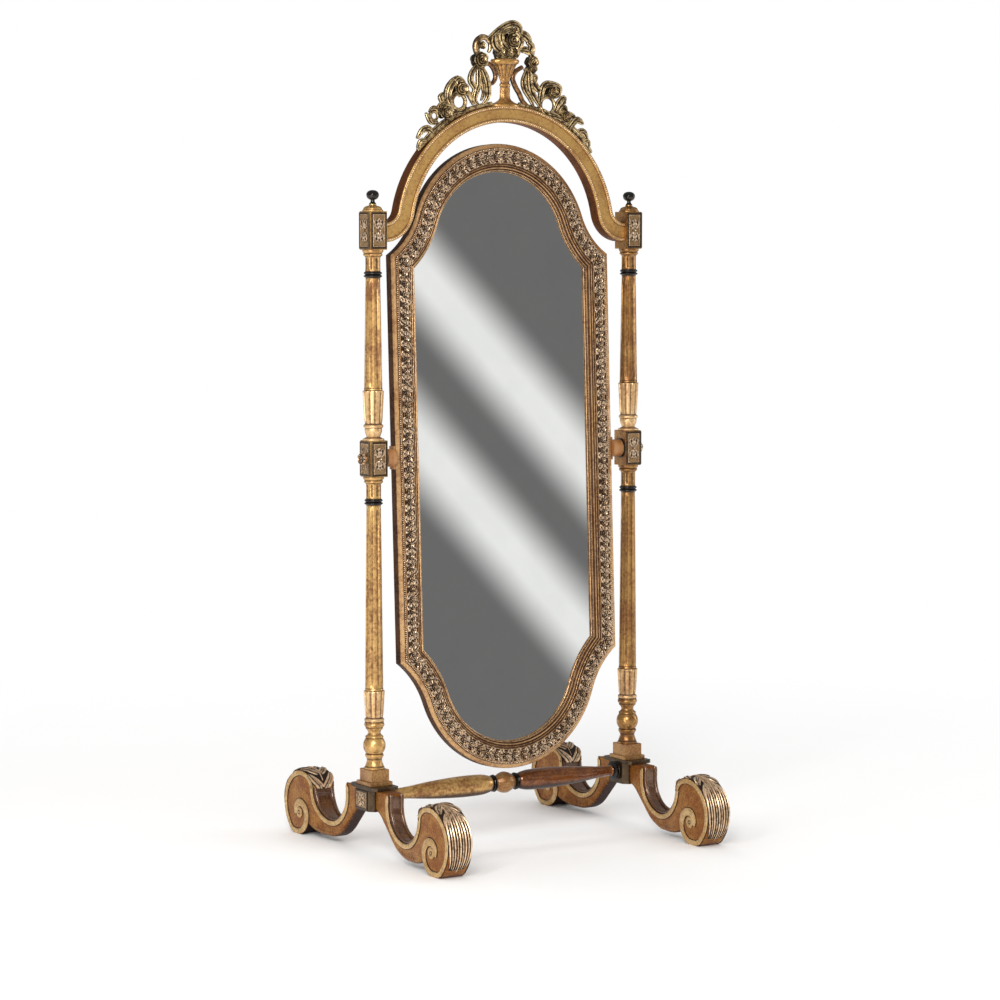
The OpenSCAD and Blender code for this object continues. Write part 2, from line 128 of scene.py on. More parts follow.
class Finish:  # one material and its nodes
    def __init__(self, name):
        self.material = bpy.data.materials.new(name)
        self.material.use_nodes = True
        self.tree = self.material.node_tree
        self.tree.nodes.clear()

    def node(self, kind, settings=None, values=None, out=0):
        made = self.tree.nodes.new("ShaderNode" + kind)
        for key, value in (settings or {}).items():
            if key == "stops":
                ramp = made.color_ramp
                while len(ramp.elements) < len(value):
                    ramp.elements.new(0.5)
                for element, (place, colour) in zip(ramp.elements, value):
                    element.position, element.color = place, colour
            else:
                setattr(made, key, value)
        for key, value in (values or {}).items():
            if isinstance(value, Sock):
                self.tree.links.new(value.socket, made.inputs[key])
            else:
                made.inputs[key].default_value = value
        return Sock(self, made.outputs[out])

    def place(self):
        return self.node("TexCoord", out="Object")

    def noise(self, place, scale, detail=3.0, rough=0.55):
        return self.node("TexNoise", None,
                         {"Vector": place, "Scale": scale, "Detail": detail, "Roughness": rough})

    def stretched(self, place, scale):
        return self.node("Mapping", None, {"Vector": place, "Scale": scale})

    def painted(self, name):  # a value carried by the mesh itself
        return self.node("Attribute", {"attribute_name": name}, out="Fac")

    def between(self, value, low, high):  # smooth step from 0 at low to 1 at high
        return self.node("MapRange", {"interpolation_type": "SMOOTHSTEP"},
                         {"Value": value, "From Min": low, "From Max": high})

    def mix(self, share, first, second):
        return self.node("Mix", {"data_type": "RGBA"}, {0: share, 6: first, 7: second}, out=2)

    def bump(self, height, strength, distance):
        return self.node("Bump", None, {"Height": height, "Strength": strength, "Distance": distance})

    def fellow(self, sock, out):  # another output of the node a socket belongs to
        return Sock(self, sock.socket.node.outputs[out])

    def ends(self, shader):
        output = self.tree.nodes.new("ShaderNodeOutputMaterial")
        self.tree.links.new(shader.socket, output.inputs["Surface"])
        return self.material

    def surface(self, values):
        return self.ends(self.node("BsdfPrincipled", None, values))


def rgb(red, green, blue):
    return (red, green, blue, 1.0)


def gilding(name, look):
    # Leaf or bronze paint over brown bole: worn in patches, and darkened by the mesh's hollow value, which
    # paints both dirt in the carving's hollows and shade under and between parts
    f = Finish(name)
    place = f.place()
    patches = f.noise(place, look.get("patch", 16), 3)
    fine = f.noise(place, look.get("fine", 140), 4)
    grit = f.noise(place, 1400, 2)
    worn = f.between(patches * 0.5 + fine * 0.5, look["wearFrom"], look["wearTo"])
    colour = f.mix(worn, look["leaf"], look["bole"])
    if "second" in look:
        colour = f.mix(f.between(f.painted("tone") + (fine - 0.5) * 0.3, 0.2, 0.8), colour,
                       f.mix(worn, look["second"], look.get("secondWorn", look["second"])))
    # painted shade and dirt: the hollow value pulls the colour towards the darkest one
    hollow = f.between(f.painted("hollow") + (fine - 0.5) * 0.45 + (grit - 0.5) * 0.2,
                       look.get("shadeDirtFrom", 0.12), look.get("shadeDirtTo", 0.80))
    colour = f.mix(hollow, colour, look["darkDirtAndShade"])
    speckle = f.between(grit + (fine - 0.5) * 0.5, 0.60, 0.72) * look.get("speckle", 0.5)
    colour = f.mix(speckle, colour, look["darkDirtAndShade"])
    rough = look["rough"] + hollow * 0.22 + (fine - 0.5) * 0.16 + worn * 0.06
    rough = rough + f.painted("tone") * look.get("roughSecond", 0.0)
    metal = look["metal"] + f.painted("tone") * (look.get("secondMetal", look["metal"]) - look["metal"])
    dull = f.painted("tone") * look.get("dullSecond", 0.0)
    coat = look.get("coat", 0.25) * (1 - dull) * (1 - hollow * 0.85)
    return f.surface({
        "Base Color": colour, "Roughness": rough, "Metallic": metal * (1 - hollow * 0.3),
        "Coat Weight": coat, "Coat Roughness": look.get("coatRough", 0.22),
        "Normal": f.bump(fine * 0.7 + grit * 0.3, look.get("bump", 0.18), 0.0006)})


# leaf is worn down to bole, and the darkest colour is both the dirt in the carving's hollows and painted
# shade under and between parts
# second stands where the mesh's tone is 1: a stained back or a pale fillet
goldLooks = {
    "postGold": {"leaf": rgb(0.60, 0.36, 0.12), "bole": rgb(0.28, 0.122, 0.038),
                 "darkDirtAndShade": rgb(0.065, 0.028, 0.012),
                 "metal": 0.66, "rough": 0.33, "wearFrom": 0.42, "wearTo": 0.64, "coat": 0.35},
    "plinthGold": {"leaf": rgb(0.41, 0.225, 0.074), "bole": rgb(0.24, 0.10, 0.032),
                   "darkDirtAndShade": rgb(0.06, 0.025, 0.012),
                   "metal": 0.62, "rough": 0.36, "wearFrom": 0.40, "wearTo": 0.62, "coat": 0.25, "fine": 220},
    "cupGold": {"leaf": rgb(0.70, 0.46, 0.22), "bole": rgb(0.44, 0.24, 0.10), "darkDirtAndShade": rgb(0.09, 0.04, 0.02),
                "metal": 0.6, "rough": 0.36, "wearFrom": 0.44, "wearTo": 0.66, "coat": 0.3},
    "carvingGold": {"leaf": rgb(0.84, 0.60, 0.39), "bole": rgb(0.44, 0.26, 0.13),
                    "darkDirtAndShade": rgb(0.022, 0.012, 0.008),
                    "metal": 0.74, "rough": 0.30, "wearFrom": 0.46, "wearTo": 0.66,
                    "coat": 0.2, "shadeDirtTo": 0.66},
    "crestGold": {"leaf": rgb(0.86, 0.63, 0.32), "bole": rgb(0.17, 0.095, 0.036),
                  "darkDirtAndShade": rgb(0.018, 0.012, 0.006),
                  "second": rgb(0.34, 0.16, 0.055), "secondWorn": rgb(0.11, 0.055, 0.03), "patch": 55,
                  "metal": 0.8, "rough": 0.26, "wearFrom": 0.43, "wearTo": 0.60, "coat": 0.2,
                  "shadeDirtFrom": 0.05, "shadeDirtTo": 0.62},
    "urnGold": {"leaf": rgb(0.50, 0.26, 0.065), "bole": rgb(0.22, 0.085, 0.022),
                "darkDirtAndShade": rgb(0.05, 0.022, 0.010),
                "metal": 0.6, "rough": 0.26, "wearFrom": 0.44, "wearTo": 0.66, "coat": 0.5},
    "archGold": {"leaf": rgb(0.56, 0.33, 0.10), "bole": rgb(0.38, 0.19, 0.055),
                 "darkDirtAndShade": rgb(0.13, 0.055, 0.025),
                 "second": rgb(0.20, 0.065, 0.018), "secondWorn": rgb(0.09, 0.03, 0.011), "roughSecond": 0.2,
                 "metal": 0.62, "secondMetal": 0.95, "rough": 0.38, "wearFrom": 0.42,
                 "wearTo": 0.66, "coat": 0.3, "dullSecond": 1.0},
    "frameGold": {"leaf": rgb(0.60, 0.365, 0.165), "bole": rgb(0.33, 0.17, 0.07),
                  "darkDirtAndShade": rgb(0.055, 0.024, 0.014),
                  "second": rgb(0.11, 0.045, 0.018), "secondWorn": rgb(0.045, 0.018, 0.009),
                  "secondMetal": 0.95, "roughSecond": 0.15,
                  "metal": 0.62, "rough": 0.36, "wearFrom": 0.42, "wearTo": 0.64,
                  "coat": 0.3, "dullSecond": 1.0},
    "footGold": {"leaf": rgb(0.38, 0.172, 0.028), "bole": rgb(0.23, 0.066, 0.007),
                 "darkDirtAndShade": rgb(0.030, 0.010, 0.006),
                 "second": rgb(0.66, 0.46, 0.22), "secondWorn": rgb(0.46, 0.27, 0.10),
                 "speckle": 0.9, "shadeDirtTo": 0.62, "patch": 34,
                 "fine": 230, "metal": 0.72, "rough": 0.38, "wearFrom": 0.36,
                 "wearTo": 0.60, "coat": 0.12, "bump": 0.4},
    "liningBrown": {"leaf": rgb(0.15, 0.066, 0.026), "bole": rgb(0.075, 0.028, 0.013),
                    "darkDirtAndShade": rgb(0.022, 0.010, 0.006),
                    "metal": 0.5, "rough": 0.24, "wearFrom": 0.40, "wearTo": 0.66,
                    "coat": 0.9, "coatRough": 0.08},
    "brownedGold": {"leaf": rgb(0.46, 0.255, 0.078), "bole": rgb(0.225, 0.092, 0.027),
                    "darkDirtAndShade": rgb(0.05, 0.022, 0.010),
                    "metal": 0.8, "rough": 0.30, "wearFrom": 0.36, "wearTo": 0.66, "coat": 0.2, "bump": 0.3},
    "shadedSpindleBrown": {"leaf": rgb(0.24, 0.082, 0.020), "bole": rgb(0.11, 0.032, 0.010),
                     "darkDirtAndShade": rgb(0.03, 0.011, 0.006),
                     "metal": 0.6, "rough": 0.20, "wearFrom": 0.40, "wearTo": 0.66,
                     "coat": 0.6, "coatRough": 0.1},
    "bronze": {"leaf": rgb(0.075, 0.045, 0.020), "bole": rgb(0.038, 0.022, 0.011),
               "darkDirtAndShade": rgb(0.014, 0.009, 0.006),
               "second": rgb(0.40, 0.25, 0.115), "secondWorn": rgb(0.27, 0.15, 0.065),
               "metal": 0.8, "rough": 0.36, "wearFrom": 0.40, "wearTo": 0.64, "coat": 0.2},
}


def ebonisedFinish():
    f = Finish("ebonised")
    wear = f.between(f.noise(f.place(), 60, 4), 0.55, 0.75)
    colour = f.mix(wear, rgb(0.006, 0.005, 0.004), rgb(0.03, 0.016, 0.009))
    return f.surface({"Base Color": colour, "Roughness": 0.14 + wear * 0.14, "Specular IOR Level": 0.35,
                      "Coat Weight": 0.22, "Coat Roughness": 0.05})


def plainWood(name, pale, dark, rough):
    f = Finish(name)
    stretch = [60.0, 60.0, 4.0]  # the grain runs upright
    grain = f.noise(f.stretched(f.place(), stretch), 1.0, 5, 0.6)
    fibre = f.noise(f.stretched(f.place(), [v * 9 for v in stretch]), 1.0, 2)
    colour = f.mix(f.between(grain * 0.75 + fibre * 0.25, 0.35, 0.65), pale, dark)
    return f.surface({"Base Color": colour, "Roughness": rough + (fibre - 0.5) * 0.2,
                      "Normal": f.bump(fibre, 0.15, 0.0004)})


def metalFinish(name, colour, rough):
    f = Finish(name)
    smear = f.noise(f.place(), 180, 4)
    tint = f.mix(f.between(smear, 0.35, 0.7), colour, rgb(*[v * 0.55 for v in colour[:3]]))
    return f.surface({"Base Color": tint, "Metallic": 1.0, "Roughness": rough + (smear - 0.5) * 0.2,
                      "Normal": f.bump(smear, 0.08, 0.0003)})


def mirrorFinish():
    f = Finish("silveredGlass")
    haze = f.between(f.noise(f.place(), 9, 3), 0.3, 0.8)
    return f.surface({"Base Color": f.mix(haze, rgb(0.80, 0.81, 0.80), rgb(0.76, 0.77, 0.77)),
                      "Metallic": 1.0,
                      "Roughness": 0.02 + haze * 0.012})


finishes = {name: gilding(name, look) for name, look in goldLooks.items()}
finishes["ebonised"] = ebonisedFinish()
finishes["bossWood"] = plainWood("bossWood", rgb(0.36, 0.17, 0.06), rgb(0.22, 0.09, 0.03), 0.4)
finishes["plywood"] = plainWood("plywood", rgb(0.46, 0.29, 0.15), rgb(0.33, 0.19, 0.09), 0.7)
finishes["steel"] = metalFinish("steel", rgb(0.55, 0.55, 0.56), 0.35)
finishes["brass"] = metalFinish("brass", rgb(0.66, 0.47, 0.18), 0.38)
finishes["mirror"] = mirrorFinish()
print("finishes ready:", len(finishes))


# Mesh building
class Stock:  # gathers the lumps of one piece
    def __init__(self):
        self.points, self.faces, self.hollow, self.tone, self.count = [], [], [], [], 0

    def add(self, points, faces, hollow=0.0, tone=0.0):
        points = np.asarray(points, float)
        size = len(points)
        faces = [list(map(int, face)) for face in faces]
        if outwardness(points, faces) < 0:
            faces = [face[::-1] for face in faces]
        self.points.append(points)
        self.faces.extend([[v + self.count for v in face] for face in faces])
        self.hollow.append(np.broadcast_to(np.asarray(hollow, float), (size,)))
        self.tone.append(np.broadcast_to(np.asarray(tone, float), (size,)))
        self.count += size
        return self

    def moved(self, change):  # the same lumps with every point changed
        return Stock().take(self, change)

    def take(self, other, change=None):  # adds another stock's lumps, moved
        points = np.vstack(other.points)
        step = -1 if change and turnsOver(points.mean(axis=0), change) else 1
        self.points.append(change(points) if change else points)
        self.faces.extend([[v + self.count for v in face][::step] for face in other.faces])
        self.hollow.append(np.concatenate(other.hollow))
        self.tone.append(np.concatenate(other.tone))
        self.count += other.count
        return self


def turnsOver(place, change):  # true where a change of place mirrors what it moves
    corners = change(place + np.vstack([np.zeros(3), 0.05 * np.eye(3)]))
    return np.linalg.det(corners[1:] - corners[0]) < 0


def outwardness(points, faces):  # positive where the faces look away from the lump's middle
    centre = points.mean(axis=0)
    total = 0.0
    groups = {}
    for face in faces:
        groups.setdefault(len(face), []).append(face)
    for size, group in groups.items():
        corners = points[np.array(group)]
        normals = np.zeros((len(group), 3))
        for k in range(size):
            normals += np.cross(corners[:, k], corners[:, (k + 1) % size])
        total += ((corners.mean(axis=1) - centre) * normals).sum()
    return total


def buildPiece(name, stock, body, finish, nodes=(), sharp=38):
    mesh = bpy.data.meshes.new(name)
    mesh.from_pydata((np.vstack(stock.points) * mm).tolist(), [], stock.faces)
    # hollow holds dirt and painted shade: the carving's hollows, undersides, shadow lines and gaps between
    # parts
    for key, values in (("hollow", stock.hollow), ("tone", stock.tone)):
        painted = mesh.attributes.new(key, "FLOAT", "POINT")
        painted.data.foreach_set("value", np.concatenate(values).astype(np.float32))
    mesh.validate()
    mesh.shade_smooth()
    mesh.set_sharp_from_angle(angle=math.radians(sharp))
    mesh.materials.append(finishes[finish])
    made = bpy.data.objects.new(name, mesh)
    bpy.context.scene.collection.objects.link(made)
    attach(made, body)
    if nodes:
        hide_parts(*nodes)
    return made


def dressNode(node, finish, bevel=0.6):  # a CAD node that stays, with softened edges
    made = frame["nodes"][node]
    made.data.materials.clear()
    made.data.materials.append(finishes[finish])
    if bevel:
        made.modifiers.new("joined", "WELD").merge_threshold = 0.00001
        soft = made.modifiers.new("softened", "BEVEL")
        soft.width, soft.segments, soft.limit_method = bevel * mm, 2, "ANGLE"
        soft.angle_limit, soft.harden_normals = math.radians(40), False


def gridFaces(rows, columns, wrapRows=False, wrapColumns=False):
    faces = []
    for i in range(rows if wrapRows else rows - 1):
        for j in range(columns if wrapColumns else columns - 1):
            a, b = i * columns + j, i * columns + (j + 1) % columns
            c, d = ((i + 1) % rows) * columns + (j + 1) % columns, ((i + 1) % rows) * columns + j
            faces.append((a, b, c, d))
    return faces


def arc(centre, radius, start, end, count):
    turn = np.radians(np.linspace(start, end, count + 1))
    return np.column_stack([centre[0] + radius * np.cos(turn), centre[1] + radius * np.sin(turn)])


def bulge(r0, r1, z0, z1, count=8):  # r0 at both ends, r1 in the middle
    t = np.linspace(0, 1, count + 1)
    return [(r0 + (r1 - r0) * math.sin(math.pi * v), z0 + (z1 - z0) * v) for v in t]


def lathe(profile, steps=72, lobes=0, depth=0.0, reeded=False, grooveDarkening=0.8):
    # profile runs along the axis as (radius, height) or (radius, height, share of the lobes' depth)
    turn = np.arange(steps) * 2 * math.pi / steps
    if reeded:
        groove = 1 - np.abs(np.sin(lobes * turn / 2)) ** 0.8
    else:
        groove = np.clip(np.cos(lobes * turn), 0, 1) ** 0.8 if lobes else np.zeros(steps)
    points, hollow = [], []
    for row in profile:
        share = row[2] if len(row) > 2 else 0.0
        r = row[0] - depth * share * groove
        points.append(np.column_stack([r * np.cos(turn), r * np.sin(turn), np.full(steps, row[1])]))
        # darker in the grooves, by their share of the lobes' depth
        hollow.append(groove * share * grooveDarkening + (row[3] if len(row) > 3 else 0.0))
    rows = len(profile)
    faces = gridFaces(rows, steps, wrapColumns=True)
    faces += [list(range(steps))[::-1], list(range((rows - 1) * steps, rows * steps))]
    return Stock().add(np.vstack(points), faces, np.concatenate(hollow))


def tube(path, radii, sides=8, depth=1.0, hollow=0.1, tone=0.0):
    # swept along a path of (x, z, forward) with the section's depth as a share of its width
    path = np.asarray(path, float)
    radii = np.broadcast_to(np.asarray(radii, float), (len(path),))
    along = np.gradient(path[:, :2], axis=0)
    along /= np.linalg.norm(along, axis=1)[:, None] + 1e-9
    across = np.column_stack([-along[:, 1], along[:, 0]])
    turn = np.arange(sides) * 2 * math.pi / sides
    ring = []
    for p, n, r in zip(path, across, radii):
        ring.append(np.column_stack([p[0] + n[0] * r * np.cos(turn), p[2] + r * depth * np.sin(turn),
                                     p[1] + n[1] * r * np.cos(turn)]))
    rows = len(path)
    points = np.vstack(ring) * [1, -1, 1]  # forward is -Y
    # painted shade: the sides turned away from the front are darkened, so strands show dark gaps
    rim = hollow + 0.65 * (1 - np.clip(np.sin(turn), 0, 1))
    shade = np.tile(np.where(np.sin(turn) < -0.5, 0.3, rim), rows)  # painted shade at the sides, less of it behind
    faces = gridFaces(rows, sides, wrapColumns=True)
    faces += [list(range(sides))[::-1], list(range((rows - 1) * sides, rows * sides))]
    return Stock().add(points, faces, shade, tone)


def smoothed(points):  # a curve through a few placed points
    each = 10  # steps from one point to the next
    points = np.asarray(points, float)
    t = np.linspace(0, len(points) - 1, each * (len(points) - 1) + 1)
    k = np.clip(t.astype(int), 0, len(points) - 2)
    f = (t - k)[:, None]
    before = points[np.clip(k - 1, 0, None)]
    a, b, after = points[k], points[k + 1], points[np.clip(k + 2, None, len(points) - 1)]
    return 0.5 * (2 * a + (b - before) * f + (2 * before - 5 * a + 4 * b - after) * f ** 2
                  + (3 * a - before - 3 * b + after) * f ** 3)


def spiral(centre, r0, r1, a0, a1, forward=0.0, count=40):
    t = np.linspace(0, 1, count + 1)
    r = r0 * (r1 / r0) ** t
    a = np.radians(a0 + (a1 - a0) * t)
    return np.column_stack([centre[0] + r * np.cos(a), centre[1] + r * np.sin(a),
                            np.full(count + 1, forward)])


def rose(segments=30, fine=True):
    # radius 1; petals in layers whose rims stand over dark gaps. Columns: along, across, height
    layers = [(0.0, 0.17, 0.60, 0.66, 3), (0.21, 0.42, 0.40, 0.60, 3), (0.46, 0.70, 0.24, 0.46, 5),
              (0.74, 1.0, 0.06, 0.26, 5)]
    if not fine:
        layers = [(0.0, 0.26, 0.62, 0.66, 3), (0.32, 0.60, 0.30, 0.52, 5), (0.66, 1.0, 0.08, 0.28, 5)]
    turn = np.arange(segments) * 2 * math.pi / segments
    rows, shades = [], []

    def ring(radius, height, shade):
        rows.append(np.column_stack([radius * np.cos(turn), radius * np.sin(turn), height]))
        shades.append(np.broadcast_to(shade, (segments,)))

    for k, (inner, outer, low, high, petals) in enumerate(layers):
        petal = np.abs(np.sin(petals * (turn + k * 0.9) / 2)) ** 0.45
        lean = 1 + 0.14 * np.sin(turn + k * 2.1)
        if inner > 0:
            ring(np.full(segments, inner), np.full(segments, low), 1.0)
        else:
            ring(np.full(segments, 0.02), np.full(segments, low), 0.5)
        middleR = inner + (outer - inner) * 0.55
        ring(np.full(segments, middleR), low + (high - low) * 0.65 * petal, 0.35 + 0.4 * (1 - petal))
        ring(outer * (0.80 + 0.20 * petal), (low + (high - low) * (0.45 + 0.55 * petal)) * lean,
             0.9 * (1 - petal))
    ring(0.82 + 0.18 * petal, np.zeros(segments), 0.9)
    ring(0.74 + 0.16 * petal, np.full(segments, -0.15), 1.0)
    count = len(rows)
    faces = gridFaces(count, segments, wrapColumns=True) + [list(range(segments))]
    return Stock().add(np.vstack(rows), faces, np.concatenate(shades))


def leaf(lobes, across, curl):
    # length 1 along, half width 0.5 at most; lobed edge, veins pressed in
    rows = lobes * 5 + 1
    t = np.linspace(0, 1, rows)
    outline = 0.5 * np.sin(math.pi * np.clip(t * 0.92 + 0.06, 0, 1)) ** 0.75
    outline *= 0.68 + 0.32 * np.abs(np.sin(math.pi * lobes * t * 0.999 + 0.15)) ** 0.6
    v = np.linspace(-1, 1, across)
    grid, shade = [], []
    for row in range(rows):
        body = 1 - np.abs(v) ** 2.2
        vein = np.abs(np.sin(math.pi * (lobes * t[row] + np.abs(v) * 0.8)))
        height = 0.10 + 0.1225 * body + 0.07 * (1 - vein) * (np.abs(v) > 0.05) - 0.10 * (np.abs(v) < 0.05)
        height = height * (0.55 + 0.45 * math.sin(math.pi * min(1, t[row] * 1.1))) + curl * t[row] ** 2
        reach = t[row] + 0.10 * np.abs(v) * (1 - t[row])
        grid.append(np.column_stack([reach, v * outline[row], height]))
        shade.append(0.15 + 0.45 * vein * np.abs(v) + 0.75 * (np.abs(v) < 0.05))
    points = np.vstack(grid)
    faces = gridFaces(rows, across)
    edge = [r * across for r in range(rows)] + [(rows - 1) * across + c for c in range(1, across)]
    edge += [r * across + across - 1 for r in range(rows - 2, -1, -1)] + [c for c in range(across - 2, 0, -1)]
    skirt = points[edge] * [1, 0.88, 1]
    skirt[:, 2] = np.minimum(skirt[:, 2] - 0.16, curl * skirt[:, 0] ** 2 - 0.05)
    size, count = len(points), len(edge)
    faces += [(edge[k], edge[(k + 1) % count], size + (k + 1) % count, size + k) for k in range(count)]
    faces.append([size + k for k in range(count)])
    return Stock().add(np.vstack([points, skirt]), faces, np.concatenate(shade + [np.full(count, 1.0)]))


def frond(points, width, strands=3):
    # acanthus strand, drawn to a point: ribs side by side over a core painted dark as the shade in the gaps
    # between them. Columns: along, across, height
    path = smoothed(points)
    t = np.linspace(0, 1, len(path))
    spread = width * (0.16 + 0.84 * np.sin(math.pi * (0.16 + 0.80 * t)) ** 0.8)
    along = np.gradient(path, axis=0)
    along /= np.linalg.norm(along, axis=1)[:, None] + 1e-9
    across = np.column_stack([-along[:, 1], along[:, 0]])
    level = 3 * np.sin(math.pi * t)
    # the core's dark is painted shade between the ribs
    stock = tube(np.column_stack([path, level - 4]), spread * 0.52, 10, 0.75, 0.9)
    for k in range(strands):
        share = k / (strands - 1) - 0.5
        line = path + across * (share * spread * (1 - 1 / strands) * 1.15)[:, None]
        lift = level + (0.5 - abs(share)) * width * 0.3 + (0.8 if k % 2 else 0)
        stock.take(tube(np.column_stack([line, lift]), spread / strands * 0.52 + 0.4, 8, 1.3, 0.28 * (k % 2)))
    return stock.moved(lambda p: np.column_stack([p[:, 0], p[:, 2], -p[:, 1]]))


def setDown(stock, along, across, height, size, turn=0.0, width=1.0, rise=1.0):
    # scales, turns and moves a lump in its own plane
    c, s = math.cos(turn), math.sin(turn)

    def change(p):
        x, y = p[:, 0] * size, p[:, 1] * size * width
        return np.column_stack([along + x * c - y * s, across + x * s + y * c,
                                height + p[:, 2] * size * rise])
    return stock.moved(change)


class Track:  # a flat path in X and Z that carving is laid along
    def __init__(self, points, closed=False):
        points = np.asarray(points, float)
        if closed:
            points = np.vstack([points, points[:1]])
        step = np.diff(points, axis=0)
        length = np.linalg.norm(step, axis=1)
        unit = step / length[:, None]
        before = np.vstack([unit[-1:] if closed else unit[:1], unit])
        after = np.vstack([unit, unit[:1] if closed else unit[-1:]])
        along = before + after
        along /= np.linalg.norm(along, axis=1)[:, None]
        self.points, self.closed = points, closed
        self.out = np.column_stack([-along[:, 1], along[:, 0]])
        self.reach = np.concatenate([[0], np.cumsum(length)])
        self.length = self.reach[-1]

    def at(self, along, across=0.0):
        s = np.mod(along, self.length) if self.closed else along
        x = np.interp(s, self.reach, self.points[:, 0]) + np.interp(s, self.reach, self.out[:, 0]) * across
        z = np.interp(s, self.reach, self.points[:, 1]) + np.interp(s, self.reach, self.out[:, 1]) * across
        return x, z


def laidOn(track, start, level):  # bends a flat lump along a track, its height towards the front
    def change(p):
        x, z = track.at(start + p[:, 0], p[:, 1])
        return np.column_stack([x, level - p[:, 2], z])
    return change


def pearlRow(track, pitch, radius, level, hollow=0.0):
    tall = 0.8  # height as a share of the radius
    count = int(round(track.length / pitch))
    turn = np.arange(8) * math.pi / 4
    rows = [(1.0, -0.4), (1.0, 0.0), (0.72, 0.62)]
    lump = np.vstack([np.column_stack([r * np.cos(turn), r * np.sin(turn), np.full(8, h)]) for r, h in rows]
                     + [[[0, 0, 1.0]]])
    faces = gridFaces(3, 8, wrapColumns=True) + [(16 + k, 16 + (k + 1) % 8, 24) for k in range(8)]
    shade = np.concatenate([np.full(8, 1.0), np.full(8, 0.75), np.full(9, hollow)])
    single = Stock().add(lump, faces, shade)
    out = Stock()
    places = (np.arange(count) + 0.5) * track.length / count
    x, z = track.at(places)
    for px, pz in zip(x, z):
        out.take(single, lambda p: np.column_stack([px + p[:, 0] * radius, level - p[:, 2] * radius * tall,
                                                    pz + p[:, 1] * radius]))
    return out


def sweptSection(section, closedPath):
    # joins outlines of equal point count; section rows are (outline, y, hollow, tone)
    points, hollow, tone = [], [], []
    for outline, y, dirtAndShade, shade in section:
        points.append(np.column_stack([outline[:, 0], np.full(len(outline), y), outline[:, 1]]))
        hollow.append(np.full(len(outline), dirtAndShade))
        tone.append(np.full(len(outline), shade))
    rows, columns = len(section), len(section[0][0])
    faces = gridFaces(rows, columns, wrapRows=True, wrapColumns=closedPath)
    if not closedPath:
        faces += [[r * columns for r in range(rows)], [r * columns + columns - 1 for r in range(rows)][::-1]]
    return Stock().add(np.vstack(points), faces, np.concatenate(hollow), np.concatenate(tone))


# The tilting mirror
frameCut = {"halfWidth": span("frame_moulding")[1][0], "domeR": 253, "domeUp": 499, "bowlDown": 520,
            "shoulderR": 176, "skirtR": 216, "flare": 18, "restTilt": math.radians(2.5), "glassInset": 61}
bandLook = {"inset": 31.8, "pitch": 26.0, "roseR": 10.8, "roseRise": 9.0, "leafLong": 15.5, "level": -15.4,
            "cornerR": 16.5, "corners": (58, 59)}


def frameOutline(inset):
    c = frameCut
    turn = math.radians(c["flare"])

    def hollow(radius, centre, sign):
        reach = c["domeR"] + radius
        x, z = reach * math.cos(turn), centre + sign * reach * math.sin(turn)
        swing = math.degrees(math.acos((x - c["halfWidth"] + inset) / (radius + inset)))
        if sign > 0:
            return arc((x, z), radius + inset, 180 + c["flare"], 180 + swing, 18)
        return arc((x, z), radius + inset, 180 - swing, 180 - c["flare"], 18)

    half = np.vstack([arc((0, c["domeUp"]), c["domeR"] - inset, 90, c["flare"], 40),
                      hollow(c["shoulderR"], c["domeUp"], 1)[1:],
                      hollow(c["skirtR"], -c["bowlDown"], -1),
                      arc((0, -c["bowlDown"]), c["domeR"] - inset, -c["flare"], -90, 40)[1:]])
    return np.vstack([half, half[1:-1][::-1] * [-1, 1]])


def onMirror(p):  # from the mirror's own plane to where it leans at rest
    c, s = math.cos(frameCut["restTilt"]), math.sin(frameCut["restTilt"])
    return np.column_stack([p[:, 0], p[:, 1] * c + p[:, 2] * s, pivotZ - p[:, 1] * s + p[:, 2] * c])


def frameSection(rows):
    return sweptSection([(frameOutline(d), y, dirtAndShade, tone) for d, y, dirtAndShade, tone in rows], True).moved(onMirror)


def makeMoulding():
    inner = frameCut["glassInset"]
    rows = [(0, 14, 0.3, 1), (0, 2, 0.1, 1), (0, -6.6, 0.1, 1), (1.0, -8.2, 0, 0.3), (5, -9.2, 0, 0.1),
            (8.4, -11, 0.1, 0), (9.8, -13.4, 0, 0), (10.6, -13.4, 0.9, 0.5), (11.2, -14.6, 0.8, 0),
            (14.8, -15.0, 0.7, 0), (15.3, -17.0, 0, 0), (16.8, -17.2, 0, 0), (17.4, -15.2, 0.9, 0.4),
            (45.6, -15.2, 0.9, 0.4), (46.2, -16.6, 0, 0), (47.4, -16.6, 0, 0), (48.2, -14.6, 0.6, 0.6),
            (51.8, -14.4, 0.3, 0.7), (52.6, -15.0, 0.0, 0), (53.4, -14.2, 0.5, 0.7),
            (55.6, -13.6, 0.3, 0.8), (56.6, -12.4, 0.9, 0.3), (57.2, -13.4, 0.1, 0), (58.4, -14.6, 0, 0),
            (59.8, -14.2, 0, 0), (60.4, -12.8, 0.7, 0.4), (inner, -10.8, 0.9, 0.8), (inner, 14, 0.4, 1)]
    buildPiece("frame_moulding_gilt", frameSection(rows), "mirror", "frameGold",
               ["frame_moulding"], sharp=30)
    slip = [(inner, -10.8, 0.3, 1), (63.0, -8.0, 0.2, 1), (63.5, -8.4, 0.0, 0), (64.4, -8.0, 0.0, 0),
            (65.0, -6.4, 0.6, 1), (66.8, -2.4, 0.2, 1), (67.2, -2.4, 0, 0.1), (68.0, -1.4, 0, 0.1),
            (68.2, 1.9, 0.5, 1), (inner, 1.9, 0.5, 1)]
    buildPiece("sight_slip_lined", frameSection(slip), "mirror", "frameGold",
               ["sight_slip"], sharp=30)
    pearls = Stock()
    pearls.take(pearlRow(Track(frameOutline(13.0), True), 4.6, 1.9, -15.0, hollow=0.05))
    pearls.take(pearlRow(Track(frameOutline(65.8), True), 4.0, 1.0, -5.4, hollow=0.1))
    buildPiece("frame_pearls", pearls.moved(onMirror), "mirror", "carvingGold")


